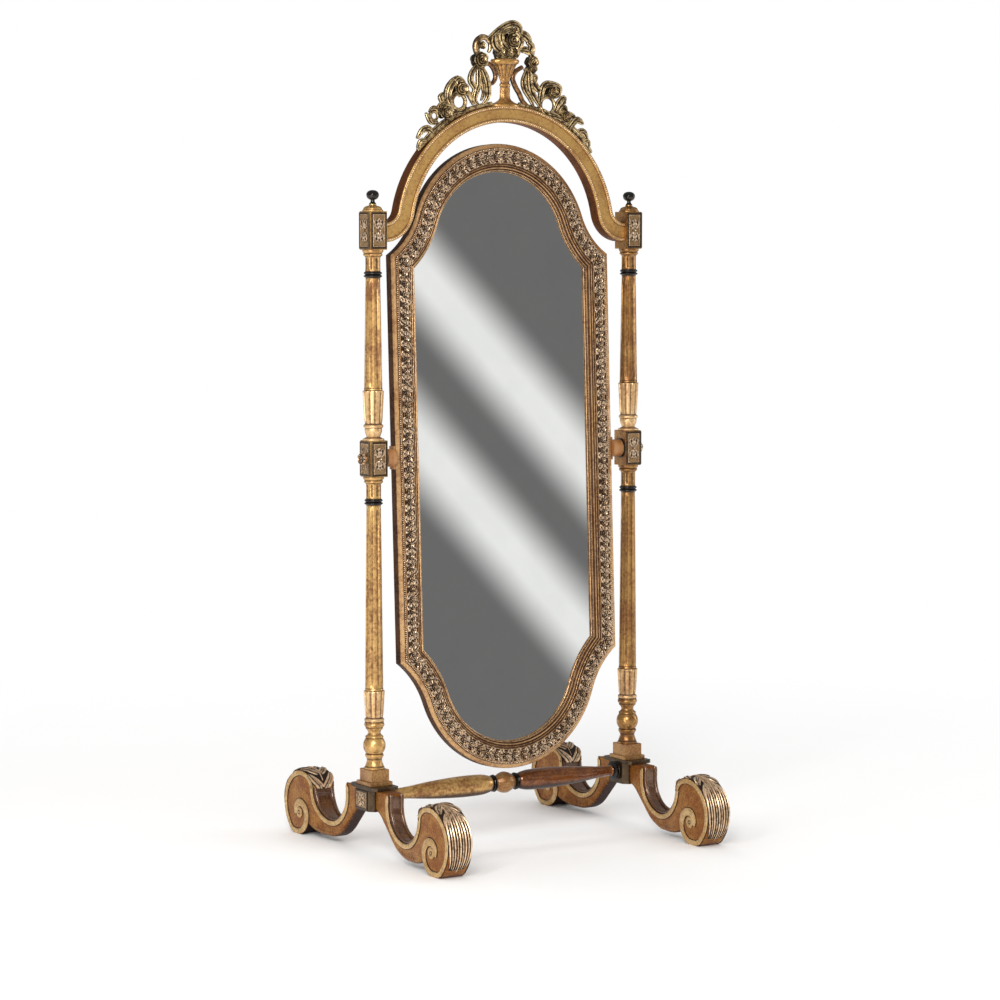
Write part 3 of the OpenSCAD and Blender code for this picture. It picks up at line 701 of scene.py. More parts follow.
def makeFloralBand():
    look = bandLook
    track = Track(frameOutline(look["inset"]), True)
    count = int(round(track.length / look["pitch"]))
    step = track.length / count
    roseLump, leafLump = rose(20, fine=False), leaf(3, 5, curl=0.1)
    bud = rose(12, fine=False)
    stock = Stock()
    for k in range(count):
        start = (k + 0.5) * step
        size = look["roseR"] * dice.uniform(0.92, 1.08)
        lumps = setDown(roseLump, 0, dice.uniform(-1.0, 1.0), 0, size, dice.uniform(0, 6.28),
                        rise=look["roseRise"] / size)
        stock.take(lumps, laidOn(track, start, look["level"]))
        for end in (-1, 1):
            for edge in (-1, 1):
                turn = math.atan2(edge * dice.uniform(0.7, 1.2), end * dice.uniform(0.5, 0.9))
                lumps = setDown(leafLump, end * 6.5, edge * 4.0, dice.uniform(0.2, 1.4),
                                look["leafLong"] * dice.uniform(0.85, 1.05), turn, 1.05, 0.95)
                stock.take(lumps, laidOn(track, start, look["level"]))
        for edge in (-1, 1):
            lumps = setDown(bud, step / 2 + dice.uniform(-1, 1), edge * dice.uniform(7.5, 9.5), 0.4,
                            dice.uniform(3.0, 4.2), dice.uniform(0, 6.28), rise=1.2)
            stock.take(lumps, laidOn(track, start, look["level"]))
        lumps = setDown(leafLump, step / 2 - 6.5, dice.uniform(-2, 2),
                        1.2, 12.5, dice.uniform(-0.3, 0.3), 0.9, 1.0)
        stock.take(lumps, laidOn(track, start, look["level"]))
    outline = frameOutline(look["inset"])
    for corner in look["corners"]:
        for way in (-1, 1):
            lump = setDown(rose(36), 0, 0, 2.5, look["cornerR"], corner + way, rise=0.62)
            x, z = outline[corner] * [way, 1]
            stock.take(lump, lambda p: np.column_stack([x + p[:, 0], look["level"] - p[:, 2], z + p[:, 1]]))
    buildPiece("floral_band_carved", stock.moved(onMirror), "mirror",
               "carvingGold", ["floral_band"])


makeMoulding()
makeFloralBand()
dressNode("mirror_glass", "mirror", 0)
dressNode("backing_board", "plywood", 0.8)
dressNode("turn_buttons", "brass", 0.5)
print("mirror made")


# The arch rail
archCut = {"outR": 313, "crown": 1796, "outSweep": 11, "inR": 268, "under": 1755, "inSweep": 10,
           "front": -16, "back": 16, "beadInset": 4.9}
blockIn = span("arch_rail")[1][0]


def railEdge(outer, inset):
    c = archCut
    radius, crown, sweep = (c["outR"] - inset, c["crown"] - inset, c["outSweep"]) if outer else \
                           (c["inR"] + inset, c["under"] + inset, c["inSweep"])
    turn = math.radians(sweep)
    centreZ = crown - radius
    swoop = (blockIn - radius * math.cos(turn)) / math.cos(turn)
    half = np.vstack([arc((0, centreZ), radius, 90, sweep, 48),
                      arc((blockIn, centreZ + (radius + swoop) * math.sin(turn)),
                          swoop, 180 + sweep, 270, 20)[1:]])
    return np.vstack([half[1:][::-1] * [-1, 1], half])


def makeArch():
    front, back = archCut["front"], archCut["back"]
    edge = [(0, back, 0.2, 1), (0, front + 1.2, 0.05, 1), (0.9, front - 0.2, 0.3, 0.4),
            (1.1, front - 2.6, 0, 0), (2.2, front - 3.4, 0, 0), (7.4, front - 3.4, 0.1, 0),
            (8.4, front - 2.4, 0.1, 0), (8.8, front + 0.4, 0.75, 0), (11.0, front + 0.6, 0.1, 0)]
    rows = [(railEdge(True, d), y, dirtAndShade, tone) for d, y, dirtAndShade, tone in edge]
    rows += [(railEdge(False, d), y, dirtAndShade, tone) for d, y, dirtAndShade, tone in edge[::-1]]
    buildPiece("arch_rail_moulded", sweptSection(rows, False), "stand", "archGold",
               ["arch_rail"], sharp=30)
    beads = Stock()
    for outer in (True, False):
        beads.take(pearlRow(Track(railEdge(outer, archCut["beadInset"])), 5.4, 2.2, front - 3.2, hollow=0.0))
    buildPiece("arch_pearls", beads, "stand", "carvingGold", ["arch_beads"])


makeArch()
print("arch made")


# The posts
postCut = {"flutes": 8, "fluteDepth": 2.3, "scoops": 10, "scoopDepth": 3.0,
           "thin": 17.4, "thick": 21.6, "cup": 26.5}


def standing(side):  # from a post's own axis to its place
    return lambda p: np.column_stack([side * (postX + p[:, 0]), p[:, 1], p[:, 2]])


def postPiece(side, node, stock, finish, suffix, hides=True, sharp=38):
    buildPiece(f"{side}_{node}_{suffix}", Stock().take(stock, standing(sides[side])), "stand",
               finish, [f"{side}_{node}"] if hides else [], sharp)


def column(z0, z1):
    r0, r1 = postCut["thin"], postCut["thick"]
    profile = [(r1 - 1, z0, 0), (r1 + 0.6, z0 + 1, 0), (r1 + 0.6, z0 + 4, 0), (r1 - 0.2, z0 + 5, 0, 0.7),
               (r1, z0 + 9, 0), (r1, z0 + 16, 0.9)]
    for t in np.linspace(0.1, 0.9, 9):
        profile.append((r1 + (r0 - r1) * t ** 1.1, z0 + (z1 - z0) * t, 1))
    profile += [(r0 + 0.1, z1 - 14, 0.9), (r0, z1 - 7, 0), (r0, z1 - 4, 0, 0.2), (r0, z1, 0, 0.6)]
    return lathe(profile, 128, postCut["flutes"], postCut["fluteDepth"], grooveDarkening=0.5)


def cup(z0, z1):  # fluted cup with a rolled foot and a scalloped lip
    h, r = z1 - z0, postCut["cup"]
    profile = [(r - 5, z0, 0, 0.6), (r - 3.2, z0 + 1, 0), (r - 2.4, z0 + 4, 0), (r - 3.4, z0 + 7, 0, 0.3),
               (r - 6.5, z0 + 9, 0, 0.8), (r - 6.0, z0 + 12, 0.4, 0.3)]
    for t in np.linspace(0.2, 0.93, 8):
        profile.append((r - 5.6 + 4.6 * t, z0 + h * t, 1.0))
    profile += [(r - 0.8, z1 - 3.0, 0.8), (r - 1.6, z1 - 1.0, 0.5), (r - 5.6, z1, 0, 0.8)]
    return lathe(profile, 160, postCut["scoops"], postCut["scoopDepth"], grooveDarkening=0.62)


postFinish = {"left": "postGold", "right": "brownedGold"}  # the right post takes a darker, browner copy of the gold as painted shade


def makeCups(side, z):
    postPiece(side, "lower_cup", cup(*z["lower_cup"]), "cupGold", "fluted", sharp=50)
    foot = z["upper_cup"][0]
    cupLow = foot + 29.8  # the cup stands on a smooth vase
    vase = lathe([(24, foot, 0, 0.5), (26, foot + 0.6, 0), (26, foot + 3.6, 0), (23, foot + 4.6, 0, 0.5),
                  (16.2, foot + 8, 0, 0.6), (17.2, foot + 11, 0, 0.1), (18.6, foot + 15),
                  (20.4, foot + 20), (21.2, foot + 24), (20.6, foot + 27.5, 0, 0.2),
                  (20, cupLow + 0.4, 0, 0.8)], 96)
    vase.take(cup(cupLow, z["upper_cup"][1]))
    postPiece(side, "upper_cup", vase, "cupGold", "fluted", sharp=50)


def makeRing(side, part, bottom, top, gold):  # doubled dark ring, and the fluted neck above it
    thin = postCut["thin"]
    profile = [(thin - 0.5, bottom), (thin + 1.5, bottom + 0.2)]
    profile += bulge(19, 22.4, bottom + 0.6, bottom + 7.2, 7) + [(18.6, bottom + 7.5)]
    profile += bulge(19, 22.0, bottom + 7.8, bottom + 14.4, 7)
    profile += [(thin + 1.5, bottom + 14.8), (thin, bottom + 15)]
    postPiece(side, part, lathe(profile, 96), "ebonised", "turned")
    neck = [(thin + 0.6, bottom + 15, 0, 0.8), (thin + 0.6, bottom + 19, 0, 0.1),
            (thin + 0.4, bottom + 22, 0.9), (thin + 0.4, top - 20, 0.9), (thin + 0.6, top - 17.5, 0, 0.2),
            (20.4, top - 14.6, 0, 0.6), (22.4, top - 13.6, 0), (23, top - 11.5, 0), (22.4, top - 9.4, 0),
            (21, top - 8.6, 0, 0.7), (23.6, top - 6, 0, 0.2), (25, top - 4, 0), (25, top - 0.6, 0),
            (24, top, 0, 0.6)]
    postPiece(side, part, lathe(neck, 96, postCut["flutes"], 1.6), gold,
              "neck", hides=False, sharp=50)


def makeBallTurning(side, b, gold):
    ball = [(23.5, b, 0, 0.6), (24.6, b + 1), (24.6, b + 4), (23, b + 5, 0, 0.7), (20.8, b + 12),
            (18, b + 21, 0, 0.3), (18.4, b + 24, 0, 0.7), (21, b + 29), (22.6, b + 32), (22.4, b + 35),
            (20, b + 36.6, 0, 0.9), (21.4, b + 39.6)]
    ball += [(float(r), float(v)) for r, v in arc((0.2, b + 56.6), 27, -34, 36, 14)]
    ball += [(20.6, b + 75, 0, 0.8), (22, b + 77), (21.4, b + 79.4), (16.5, b + 83, 0, 0.4),
             (15, b + 87.5, 0, 0.2), (16.6, b + 93, 0, 0.3), (20.6, b + 97), (21.2, b + 99),
             (20.2, b + 100.4, 0, 0.9), (22, b + 101.6)]
    ball += bulge(22.2, 24.6, b + 102, b + 112, 7) + [(23, b + 112.8, 0, 0.7), (22.6, b + 114.6, 0, 0.5)]
    postPiece(side, "ball_turning", lathe(ball, 96), gold, "turned", sharp=45)


def makeFinial(side, z, gold):
    c = z["finial_cap"][0]
    cap = [(24, c), (25, c + 0.6), (25, c + 2.8), (23, c + 3.6, 0, 0.6), (22.4, c + 4.6, 0, 0.4)]
    cap += [(5.4 + 17 * math.cos(a), c + 4.8 + 8.6 * math.sin(a), math.sin(2 * a))
            for a in np.linspace(0, 1.25, 9)]
    cap += [(9.2, c + 13.6, 0, 0.7), (8.6, c + 15), (8.8, c + 17.2, 0, 0.6)]
    postPiece(side, "finial_cap", lathe(cap, 96, 16, 1.8, reeded=True), gold, "domed", sharp=45)
    f0, f1 = z["finial_ball"]
    knob = [(8, f0), (8.4, f0 + 1.4), (6.4, f0 + 3), (4.8, f0 + 6), (5.2, f0 + 9.4), (9, f0 + 10.6),
            (13.0, f0 + 14), (14.9, f0 + 18.6), (15.2, f0 + 20.6), (14.6, f0 + 21.2, 0, 0.6),
            (15.2, f0 + 21.8), (14.6, f0 + 25), (11.6, f0 + 29.4), (7, f1 - 1.0), (3, f1 - 0.2), (0.4, f1)]
    postPiece(side, "finial_ball", lathe(knob, 72), "ebonised", "turned")


def makePost(side):
    turned = ("upper_column", "upper_ring", "upper_cup", "lower_column",
              "lower_ring", "lower_cup", "ball_turning",
              "finial_cap", "finial_ball")
    z = {node: [corner[2] for corner in span(f"{side}_{node}")] for node in turned}
    gold = postFinish[side]
    for part in ("upper_column", "lower_column"):
        postPiece(side, part, column(*z[part]), gold, "fluted", sharp=50)
    makeCups(side, z)
    for part in ("upper_ring", "lower_ring"):
        makeRing(side, part, *z[part], gold)
    makeBallTurning(side, z["ball_turning"][0], gold)
    makeFinial(side, z, gold)
    dressNode(f"{side}_base_block", "plinthGold", 1.4)
    for node in ("top_block", "pivot_block"):
        dressNode(f"{side}_{node}", gold, 0.9)


# Carved panels and clamp knobs
panelCut = {"thick": 3.3, "plaqueThick": 3.4}


def rectangle(w, h, inset, height):
    a, b = w / 2 - inset, h / 2 - inset
    return np.array([[-a, -b, height], [a, -b, height], [a, b, height], [-a, b, height]])


def panelFrame(w, h, thick):  # flat lump: dark border about a sunk field, as along, across, height
    rows = [(0, 0, 0.3, 0), (0, thick - 0.9, 0, 0), (0.9, thick, 0, 0), (4.4, thick, 0, 0),
            (4.9, thick - 1.9, 0.7, 0.6), (8, thick - 2.1, 0, 1)]
    points = np.vstack([rectangle(w, h, *row[:2]) for row in rows])
    faces = gridFaces(len(rows), 4, wrapColumns=True)
    faces += [[3, 2, 1, 0], [len(points) - 4 + k for k in range(4)]]
    return Stock().add(points, faces, np.repeat([r[2] for r in rows], 4), np.repeat([r[3] for r in rows], 4))


# pale fillet round the field, and crossed leaves about a small rose
def panelMotif(w, h, thick, knobbed=False):
    rows = [(4.9, thick - 2.4, 0.8), (5.0, thick - 0.8, 0.2), (5.5, thick - 0.5, 0),
            (6.1, thick - 0.8, 0.2), (6.3, thick - 2.4, 0.8)]
    points = np.vstack([rectangle(w, h, *row[:2]) for row in rows])
    stock = Stock().add(points, gridFaces(len(rows), 4, wrapRows=True, wrapColumns=True),
                        np.repeat([r[2] for r in rows], 4))
    leafLump, roseLump = leaf(3, 5, curl=0.05), rose(24, fine=False)
    floor, wide, tall = thick - 2.1, w * 0.22, h * 0.27
    for across, along in ((1, 1), (-1, 1), (-1, -1), (1, -1)):
        turn = math.atan2(along * tall, across * wide)
        start = (15.5 if knobbed else 2.5) * np.array([math.cos(turn), math.sin(turn)])
        reach = math.hypot(wide, tall) * (0.6 if knobbed else 1)
        stock.take(setDown(leafLump, *start, floor, reach, turn, 0.8, 0.45))
        if not knobbed:
            stock.take(setDown(leafLump, 0, along * tall * 0.45, floor,
                               wide * 1.1, turn / 2 if across > 0 else turn, 0.8, 0.5))
    if not knobbed:
        for turn in (math.pi / 2, -math.pi / 2):
            stock.take(setDown(leafLump, 0, 0, floor, tall * 1.25, turn, 0.5, 0.4))
        stock.take(setDown(roseLump, 0, 0, floor, 5.4, rise=0.7))
    return stock


def makePanels(side):
    way = sides[side]
    panels, motifs = Stock(), Stock()
    for node in ("top_block", "pivot_block"):
        low, high = span(f"{side}_{node}")
        z, h = (low[2] + high[2]) / 2, high[2] - low[2] - 5
        x, thick = (low[0] + high[0]) / 2, panelCut["thick"]
        edge = high[0] if way > 0 else low[0]
        wide, deep = high[0] - low[0] - 4, high[1] - low[1] - 4
        faces = {"front": (wide, lambda p: np.column_stack([x + p[:, 0], low[1] - p[:, 2], z + p[:, 1]])),
                 "back": (wide, lambda p: np.column_stack([x - p[:, 0], high[1] + p[:, 2], z + p[:, 1]])),
                 "outer": (deep,
                           lambda p: np.column_stack([edge + way * p[:, 2], way * p[:, 0], z + p[:, 1]]))}
        for face, (w, change) in faces.items():
            panels.take(panelFrame(w, h, thick), change)
            motifs.take(panelMotif(w, h, thick, node == "pivot_block" and face == "outer"), change)
    buildPiece(f"{side}_block_panels_framed", panels, "stand", "bronze",
               [f"{side}_block_panels"])
    buildPiece(f"{side}_block_motifs_carved", motifs, "stand", "carvingGold")


def makeKnob(side):
    way = sides[side]
    low, high = span(f"{side}_clamp_knob")
    inner = low[0] if way > 0 else high[0]
    boss = lathe([(8.4, 0), (8.6, 3.6), (7.6, 4.6, 0, 0.8), (12.4, 5.4, 0, 0.3), (14.6, 7, 0.6),
                  (15, 9.6, 1), (14.2, 12, 1), (11, 13.6, 0.4, 0.6)], 72, 10, 1.6, reeded=True)
    boss.take(setDown(rose(30), 0, 0, 12.0, 13.4, rise=0.78))
    stock = Stock().take(boss, lambda p: np.column_stack([inner + way * p[:, 2], p[:, 0], pivotZ + p[:, 1]]))
    buildPiece(f"{side}_clamp_knob_rosette", stock, f"{side}_knob", "carvingGold",
               [f"{side}_clamp_knob"])
    dressNode(f"{side}_pivot_bolt", "steel", 0.3)
    dressNode(f"{side}_trunnion", "bossWood", 1.2)


for side in sides:
    makePost(side)
    makePanels(side)
    makeKnob(side)
dressNode("pivot_washers", "ebonised", 0.5)
dressNode("post_rods", "steel", 0.3)
print("posts made")


# The feet
legCut = {"reach": 392, "top": 160, "root": 41, "neck": 22.5, "scroll": 33.5, "bigR": 86.3, "toeR": 47.8,
          "sunk": 2.4, "fillet": 12.4, "eye": (316, 55), "eyeR": 14.5, "floor": 0.0}


def legOutline(inset=0.0):  # closed outline as distance from the post and height
    c = legCut
    big = (c["reach"] - c["bigR"], 75)
    toe = (big[0] + (c["bigR"] - c["toeR"]) * math.cos(math.pi / 4),
           big[1] - (c["bigR"] - c["toeR"]) * math.sin(math.pi / 4) - 1.4)
    d = inset
    parts = [np.array([[c["root"], c["top"] - d]]), arc((92, c["top"] - 10), 10 - d * 0.9, 90, 0, 5),
             arc((177, 130), 75 + d, 180, 360, 40), arc((big[0] - 9.7, 112), 48 - d, 165, 104.7, 9),
             arc(big, c["bigR"] - d, 104.7, -45, 44)[1:], arc(toe, c["toeR"] - d, -45, -142, 24)[1:],
             arc((210, 153), 140 - d, -56, -90, 14), arc((190, 123), 110 - d, -90, -135, 16)[1:],
             arc((20, 47.2), 63.8 + d, 45, math.degrees(math.acos((c["root"] - 20) / (63.8 + d))), 8)[1:]]
    points = np.vstack(parts)
    points[:, 1] = np.maximum(points[:, 1], c["floor"] + d)
    return points


# places along the outline, counted in points
legMarks = {"root": 3, "hollowStart": 6, "lip": 47, "bottom": 112, "toeEnd": 126}


def halfWidth(reach):
    c = legCut
    return np.interp(reach, [c["root"], 150, 200, 251, 300],
                     [c["neck"], c["neck"], c["neck"] + 3, c["scroll"] - 2.5, c["scroll"]])


def filledSide(outline):  # triangles over a closed outline, with points inside it
    spacing = 9.0
    low, high = outline.min(axis=0), outline.max(axis=0)
    inside = []
    for k, y in enumerate(np.arange(low[0], high[0], spacing)):
        for z in np.arange(low[1] + (k % 2) * spacing / 2, high[1], spacing):
            clear = np.min(np.hypot(outline[:, 0] - y, outline[:, 1] - z))
            if clear > spacing * 0.55 and insideOf(outline, y, z):
                inside.append((y, z))
    count = len(outline)
    verts = [Vector(p) for p in outline] + [Vector(p) for p in inside]
    out = delaunay_2d_cdt(verts, [], [list(range(count))], 1, 0.0001)
    return np.array([tuple(v) for v in out[0]]), [list(face) for face in out[2]]


def insideOf(outline, y, z):
    a, b = outline, np.roll(outline, -1, axis=0)
    crosses = (a[:, 1] > z) != (b[:, 1] > z)
    with np.errstate(divide="ignore", invalid="ignore"):
        at = a[:, 0] + (z - a[:, 1]) / (b[:, 1] - a[:, 1]) * (b[:, 0] - a[:, 0])
    return np.count_nonzero(crosses & (y < at)) % 2 == 1


def ridge(path, widths, base, height, side, tone=1.0, dark=0.0):  # a raised fillet on a leg's side face
    path = np.asarray(path, float)
    along = np.gradient(path, axis=0)
    along /= np.linalg.norm(along, axis=1)[:, None] + 1e-9
    out = np.column_stack([-along[:, 1], along[:, 0]])
    widths = np.broadcast_to(np.asarray(widths, float), (len(path),))
    # the fillet's feet are painted dark as shade
    section = [(-0.5, 0.0, 0.9), (-0.48, 0.7, 0.25), (-0.40, 1.0, 0.0), (0.0, 1.0, 0.0), (0.40, 1.0, 0.0),
               (0.48, 0.7, 0.25), (0.5, 0.0, 0.9)]
    rows, shade = [], []
    for across, rise, dirtAndShade in section:
        p = path + out * (across * widths)[:, None]
        x = side * (halfWidth(p[:, 0]) - base + height * rise)
        rows.append(np.column_stack([x, p[:, 0], p[:, 1]]))
        shade.append(np.full(len(path), max(dirtAndShade, dark)))
    count, columns = len(section), len(path)
    faces = gridFaces(count, columns, wrapRows=True)
    faces += [[r * columns for r in range(count)], [r * columns + columns - 1 for r in range(count)][::-1]]
    return Stock().add(np.vstack(rows), faces, np.concatenate(shade), tone)


def legBody():
    c = legCut
    rim = legOutline()
    count = len(rim)
    # painted shade: the underside is darkened, and the rows that round into it by degrees
    underside = np.zeros(count)
    underside[legMarks["bottom"]:] = 0.9
    hollowRim = np.zeros(count)
    hollowRim[legMarks["hollowStart"]:legMarks["lip"]] = 0.42
    rows = []
    # the underside's edge is rounder
    soft = np.interp(np.arange(count), [legMarks["toeEnd"], legMarks["toeEnd"] + 9], [1.0, 3.4])
    step = (legOutline(3.0) - rim) / 3.0
    for inset, drop in ((3.0, 0), (1.9, 0.35), (1.0, 1.1), (0.35, 2.3), (0.0, 4)):
        p = rim + step * (inset * soft)[:, None]
        rows.append((p, halfWidth(p[:, 0]) - c["sunk"] - drop * soft ** 0.7))
    across = np.linspace(0.85, 0.0, 5)
    rows += [(rim, rows[4][1] * v / 0.9) for v in across]
    full = [np.column_stack([-x, p[:, 0], p[:, 1]]) for p, x in rows]
    full += [np.column_stack([x, p[:, 0], p[:, 1]]) for p, x in rows[-2::-1]]
    faces = gridFaces(len(full), count, wrapColumns=True)
    shares = [0.1, 0.2, 0.35, 0.5, 0.65, 0.8, 0.9, 1, 1, 1]
    dirtAndShade = [share * underside + hollowRim for share in shares + shares[-2::-1]]
    stock = Stock().add(np.vstack(full), faces, np.concatenate(dirtAndShade))
    for side in (-1, 1):
        flat, triangles = filledSide(rows[0][0])
        x = side * (halfWidth(flat[:, 0]) - c["sunk"])
        points = np.column_stack([x, flat[:, 0], flat[:, 1]])
        first = np.array([points[v] for v in triangles[0][:3]])
        facing = np.cross(first[1] - first[0], first[2] - first[0])[0] * side
        stock.points.append(points)
        stock.faces.extend([[v + stock.count for v in (t if facing > 0 else t[::-1])] for t in triangles])
        # painted shade: the side face darkens near the floor, less of it towards the volute
        low = np.interp(points[:, 2], [4, 60], [0.5, 0.0]) * np.interp(points[:, 1], [230, 300], [1, 0])
        stock.hollow.append(low)
        stock.tone.append(np.zeros(len(points)))
        stock.count += len(points)
    return stock


def voluteRidges(side):
    c = legCut
    edge = legOutline(c["fillet"] * 0.58)[legMarks["root"]:legMarks["bottom"]]
    eye = c["eye"]
    last = edge[-1]
    start = math.degrees(math.atan2(last[1] - eye[1], last[0] - eye[0]))
    r0 = math.hypot(*(last - eye))
    curl = spiral(eye, r0, c["eyeR"] + 2, start, start - 310, 0, 60)[1:, :2]
    path = np.vstack([edge, curl])
    widths = np.concatenate([np.full(len(edge), c["fillet"]),
                             np.interp(np.arange(len(curl)), [0, 24, 44, len(curl)],
                                       [c["fillet"], 20.5, 19, 12])])
    stock = ridge(path, widths, c["sunk"], 2.6, side)
    stock.take(ridge(path, widths + 3.4, c["sunk"], 0.3, side, 0.0, 1.0))  # painted shadow line either side
    # oval disc that ends the spiral, its foot painted dark as shade
    steps = 28
    turn = np.arange(steps) * 2 * math.pi / steps
    rows, shade = [], []
    for r, rise, dirtAndShade in ((1.0, 0, 0.9), (0.96, 1.8, 0.2), (0.8, 2.8, 0),
                          (0.5, 3.1, 0), (0.3, 2.2, 0.7), (0.12, 3.0, 0.1)):
        y = eye[0] + c["eyeR"] * r * np.cos(turn)
        rows.append(np.column_stack([side * (halfWidth(y) - c["sunk"] + rise),
                                     y, eye[1] + c["eyeR"] * r * np.sin(turn)]))
        shade.append(np.full(steps, dirtAndShade))
    faces = gridFaces(len(rows), steps,
                      wrapColumns=True) + [[(len(rows) - 1) * steps + k for k in range(steps)]]
    return stock.take(Stock().add(np.vstack(rows), faces, np.concatenate(shade), 1.0))


def lining():  # glossy strip in the hollow, with a roll along each edge
    first, last = legMarks["hollowStart"] - 1, legMarks["lip"]
    stock, rows = Stock(), []
    for share, rise in ((-1, -1), (-1, 0.8), (-0.5, 0.5), (0.5, 0.5), (1, 0.8), (1, -1)):
        p = legOutline(-rise)[first:last]
        rows.append(np.column_stack([share * (halfWidth(p[:, 0]) - 9), p[:, 0], p[:, 1]]))
    count, columns = len(rows), len(rows[0])
    faces = gridFaces(count, columns, wrapRows=True)
    faces += [[r * columns for r in range(count)], [r * columns + columns - 1 for r in range(count)][::-1]]
    stock.add(np.vstack(rows), faces, 0.15)
    for side in (-1, 1):
        edge = legOutline(-1.6)[first - 1:last]
        roll = tube(np.column_stack([edge, np.zeros(len(edge))]), 4.4, 14)
        roll.hollow = [np.full(roll.count, 0.12)]
        stock.take(roll,
                   lambda p: np.column_stack([side * (halfWidth(p[:, 0]) - 8) - p[:, 1], p[:, 0], p[:, 2]]))
    return stock


def acanthus():  # leaf that folds over the volute's lip and hangs down its front
    c = legCut
    outline = Track(legOutline()[legMarks["lip"] - 2:legMarks["bottom"]])
    reach, half = outline.length, c["scroll"] - 1
    flat = Stock()
    steps = np.arange(24)
    # flat bed under the ribs, painted dark as the shade between them
    bed = np.column_stack([np.linspace(2, reach * 0.86, len(steps)), 0 * steps, 0 * steps])
    spread = half * np.interp(steps, [0, 2, 15, 23], [0.5, 0.95, 0.97, 0.66])
    flat.take(tube(bed, spread, 16, 0.05, 0.85), lambda p: np.column_stack([p[:, 0], p[:, 2], -p[:, 1]]))
    for k, start in enumerate(reach * np.array([0.05, 0.17, 0.29, 0.41])):
        for way in (-1, 1):
            far = half * (0.94 - 0.03 * k)
            path = [(start, way * 3), (start + 10, way * far * 0.45), (start + 24, way * far * 0.8),
                    (start + 40, way * far)]
            flat.take(frond(path, 17, 3), lambda p: p * [1, 1, 0.5])
    for k in range(9):
        lane = (k - 4) / 4
        begin = reach * (0.10 + 0.34 * abs(lane))
        path = [(begin, lane * half * 0.35), (reach * 0.5, lane * half * 0.84),
                (reach * 0.68, lane * half * 0.9), (reach * (0.88 - 0.05 * abs(lane)), lane * half * 0.7)]
        route = smoothed(path)
        widths = np.interp(np.arange(len(route)), [0, 6, 24, 30], [1, 2.7, 2.6, 0.8])
        rib = tube(np.column_stack([route, np.full(len(route), 1.2)]), widths, 8, 1.5 if k != 4 else 1.9,
                   0.25 * (k % 2))
        flat.take(rib, lambda p: np.column_stack([p[:, 0], p[:, 2], -p[:, 1]]))

    def wrapped(p):
        y, z = outline.at(p[:, 0], 0.6 + np.clip(p[:, 2], -2, 9))
        return np.column_stack([p[:, 1], y, np.maximum(z, 0.4)])
    return flat.moved(wrapped)


def makeLegs(side):
    way = sides[side]
    body = legBody()
    for face in (-1, 1):
        body.take(voluteRidges(face))
    strip, foliage = lining(), acanthus()
    for end, node in ((-1, "front_leg"), (1, "rear_leg")):
        def change(p):
            return np.column_stack([way * postX + p[:, 0], end * p[:, 1], np.maximum(p[:, 2], 0)])
        buildPiece(f"{side}_{node}_carved", Stock().take(body, change), "stand", "footGold",
                   [f"{side}_{node}"])
        buildPiece(f"{side}_{node}_lining", Stock().take(strip, change), "stand", "liningBrown")
        buildPiece(f"{side}_{node}_acanthus", Stock().take(foliage, change),
                   "stand", "carvingGold")
    dressNode(f"{side}_foot_hub", "bronze", 1.4)
    low, high = span(f"{side}_foot_plaque")
    edge, z = (low[0], (low[2] + high[2]) / 2) if way > 0 else (high[0], (low[2] + high[2]) / 2)
    w, h = high[1] - low[1], high[2] - low[2]
    thick = panelCut["plaqueThick"]

    def outwards(p):
        return np.column_stack([edge + way * p[:, 2], way * p[:, 0], z + p[:, 1]])
    buildPiece(f"{side}_foot_plaque_framed", Stock().take(panelFrame(w, h, thick), outwards),
               "stand", "bronze",
               [f"{side}_foot_plaque"])
    buildPiece(f"{side}_foot_motif_carved", Stock().take(panelMotif(w, h, thick), outwards),
               "stand", "carvingGold")


for side in sides:
    makeLegs(side)
dressNode("foot_bolts", "steel", 0.3)
print("feet made")


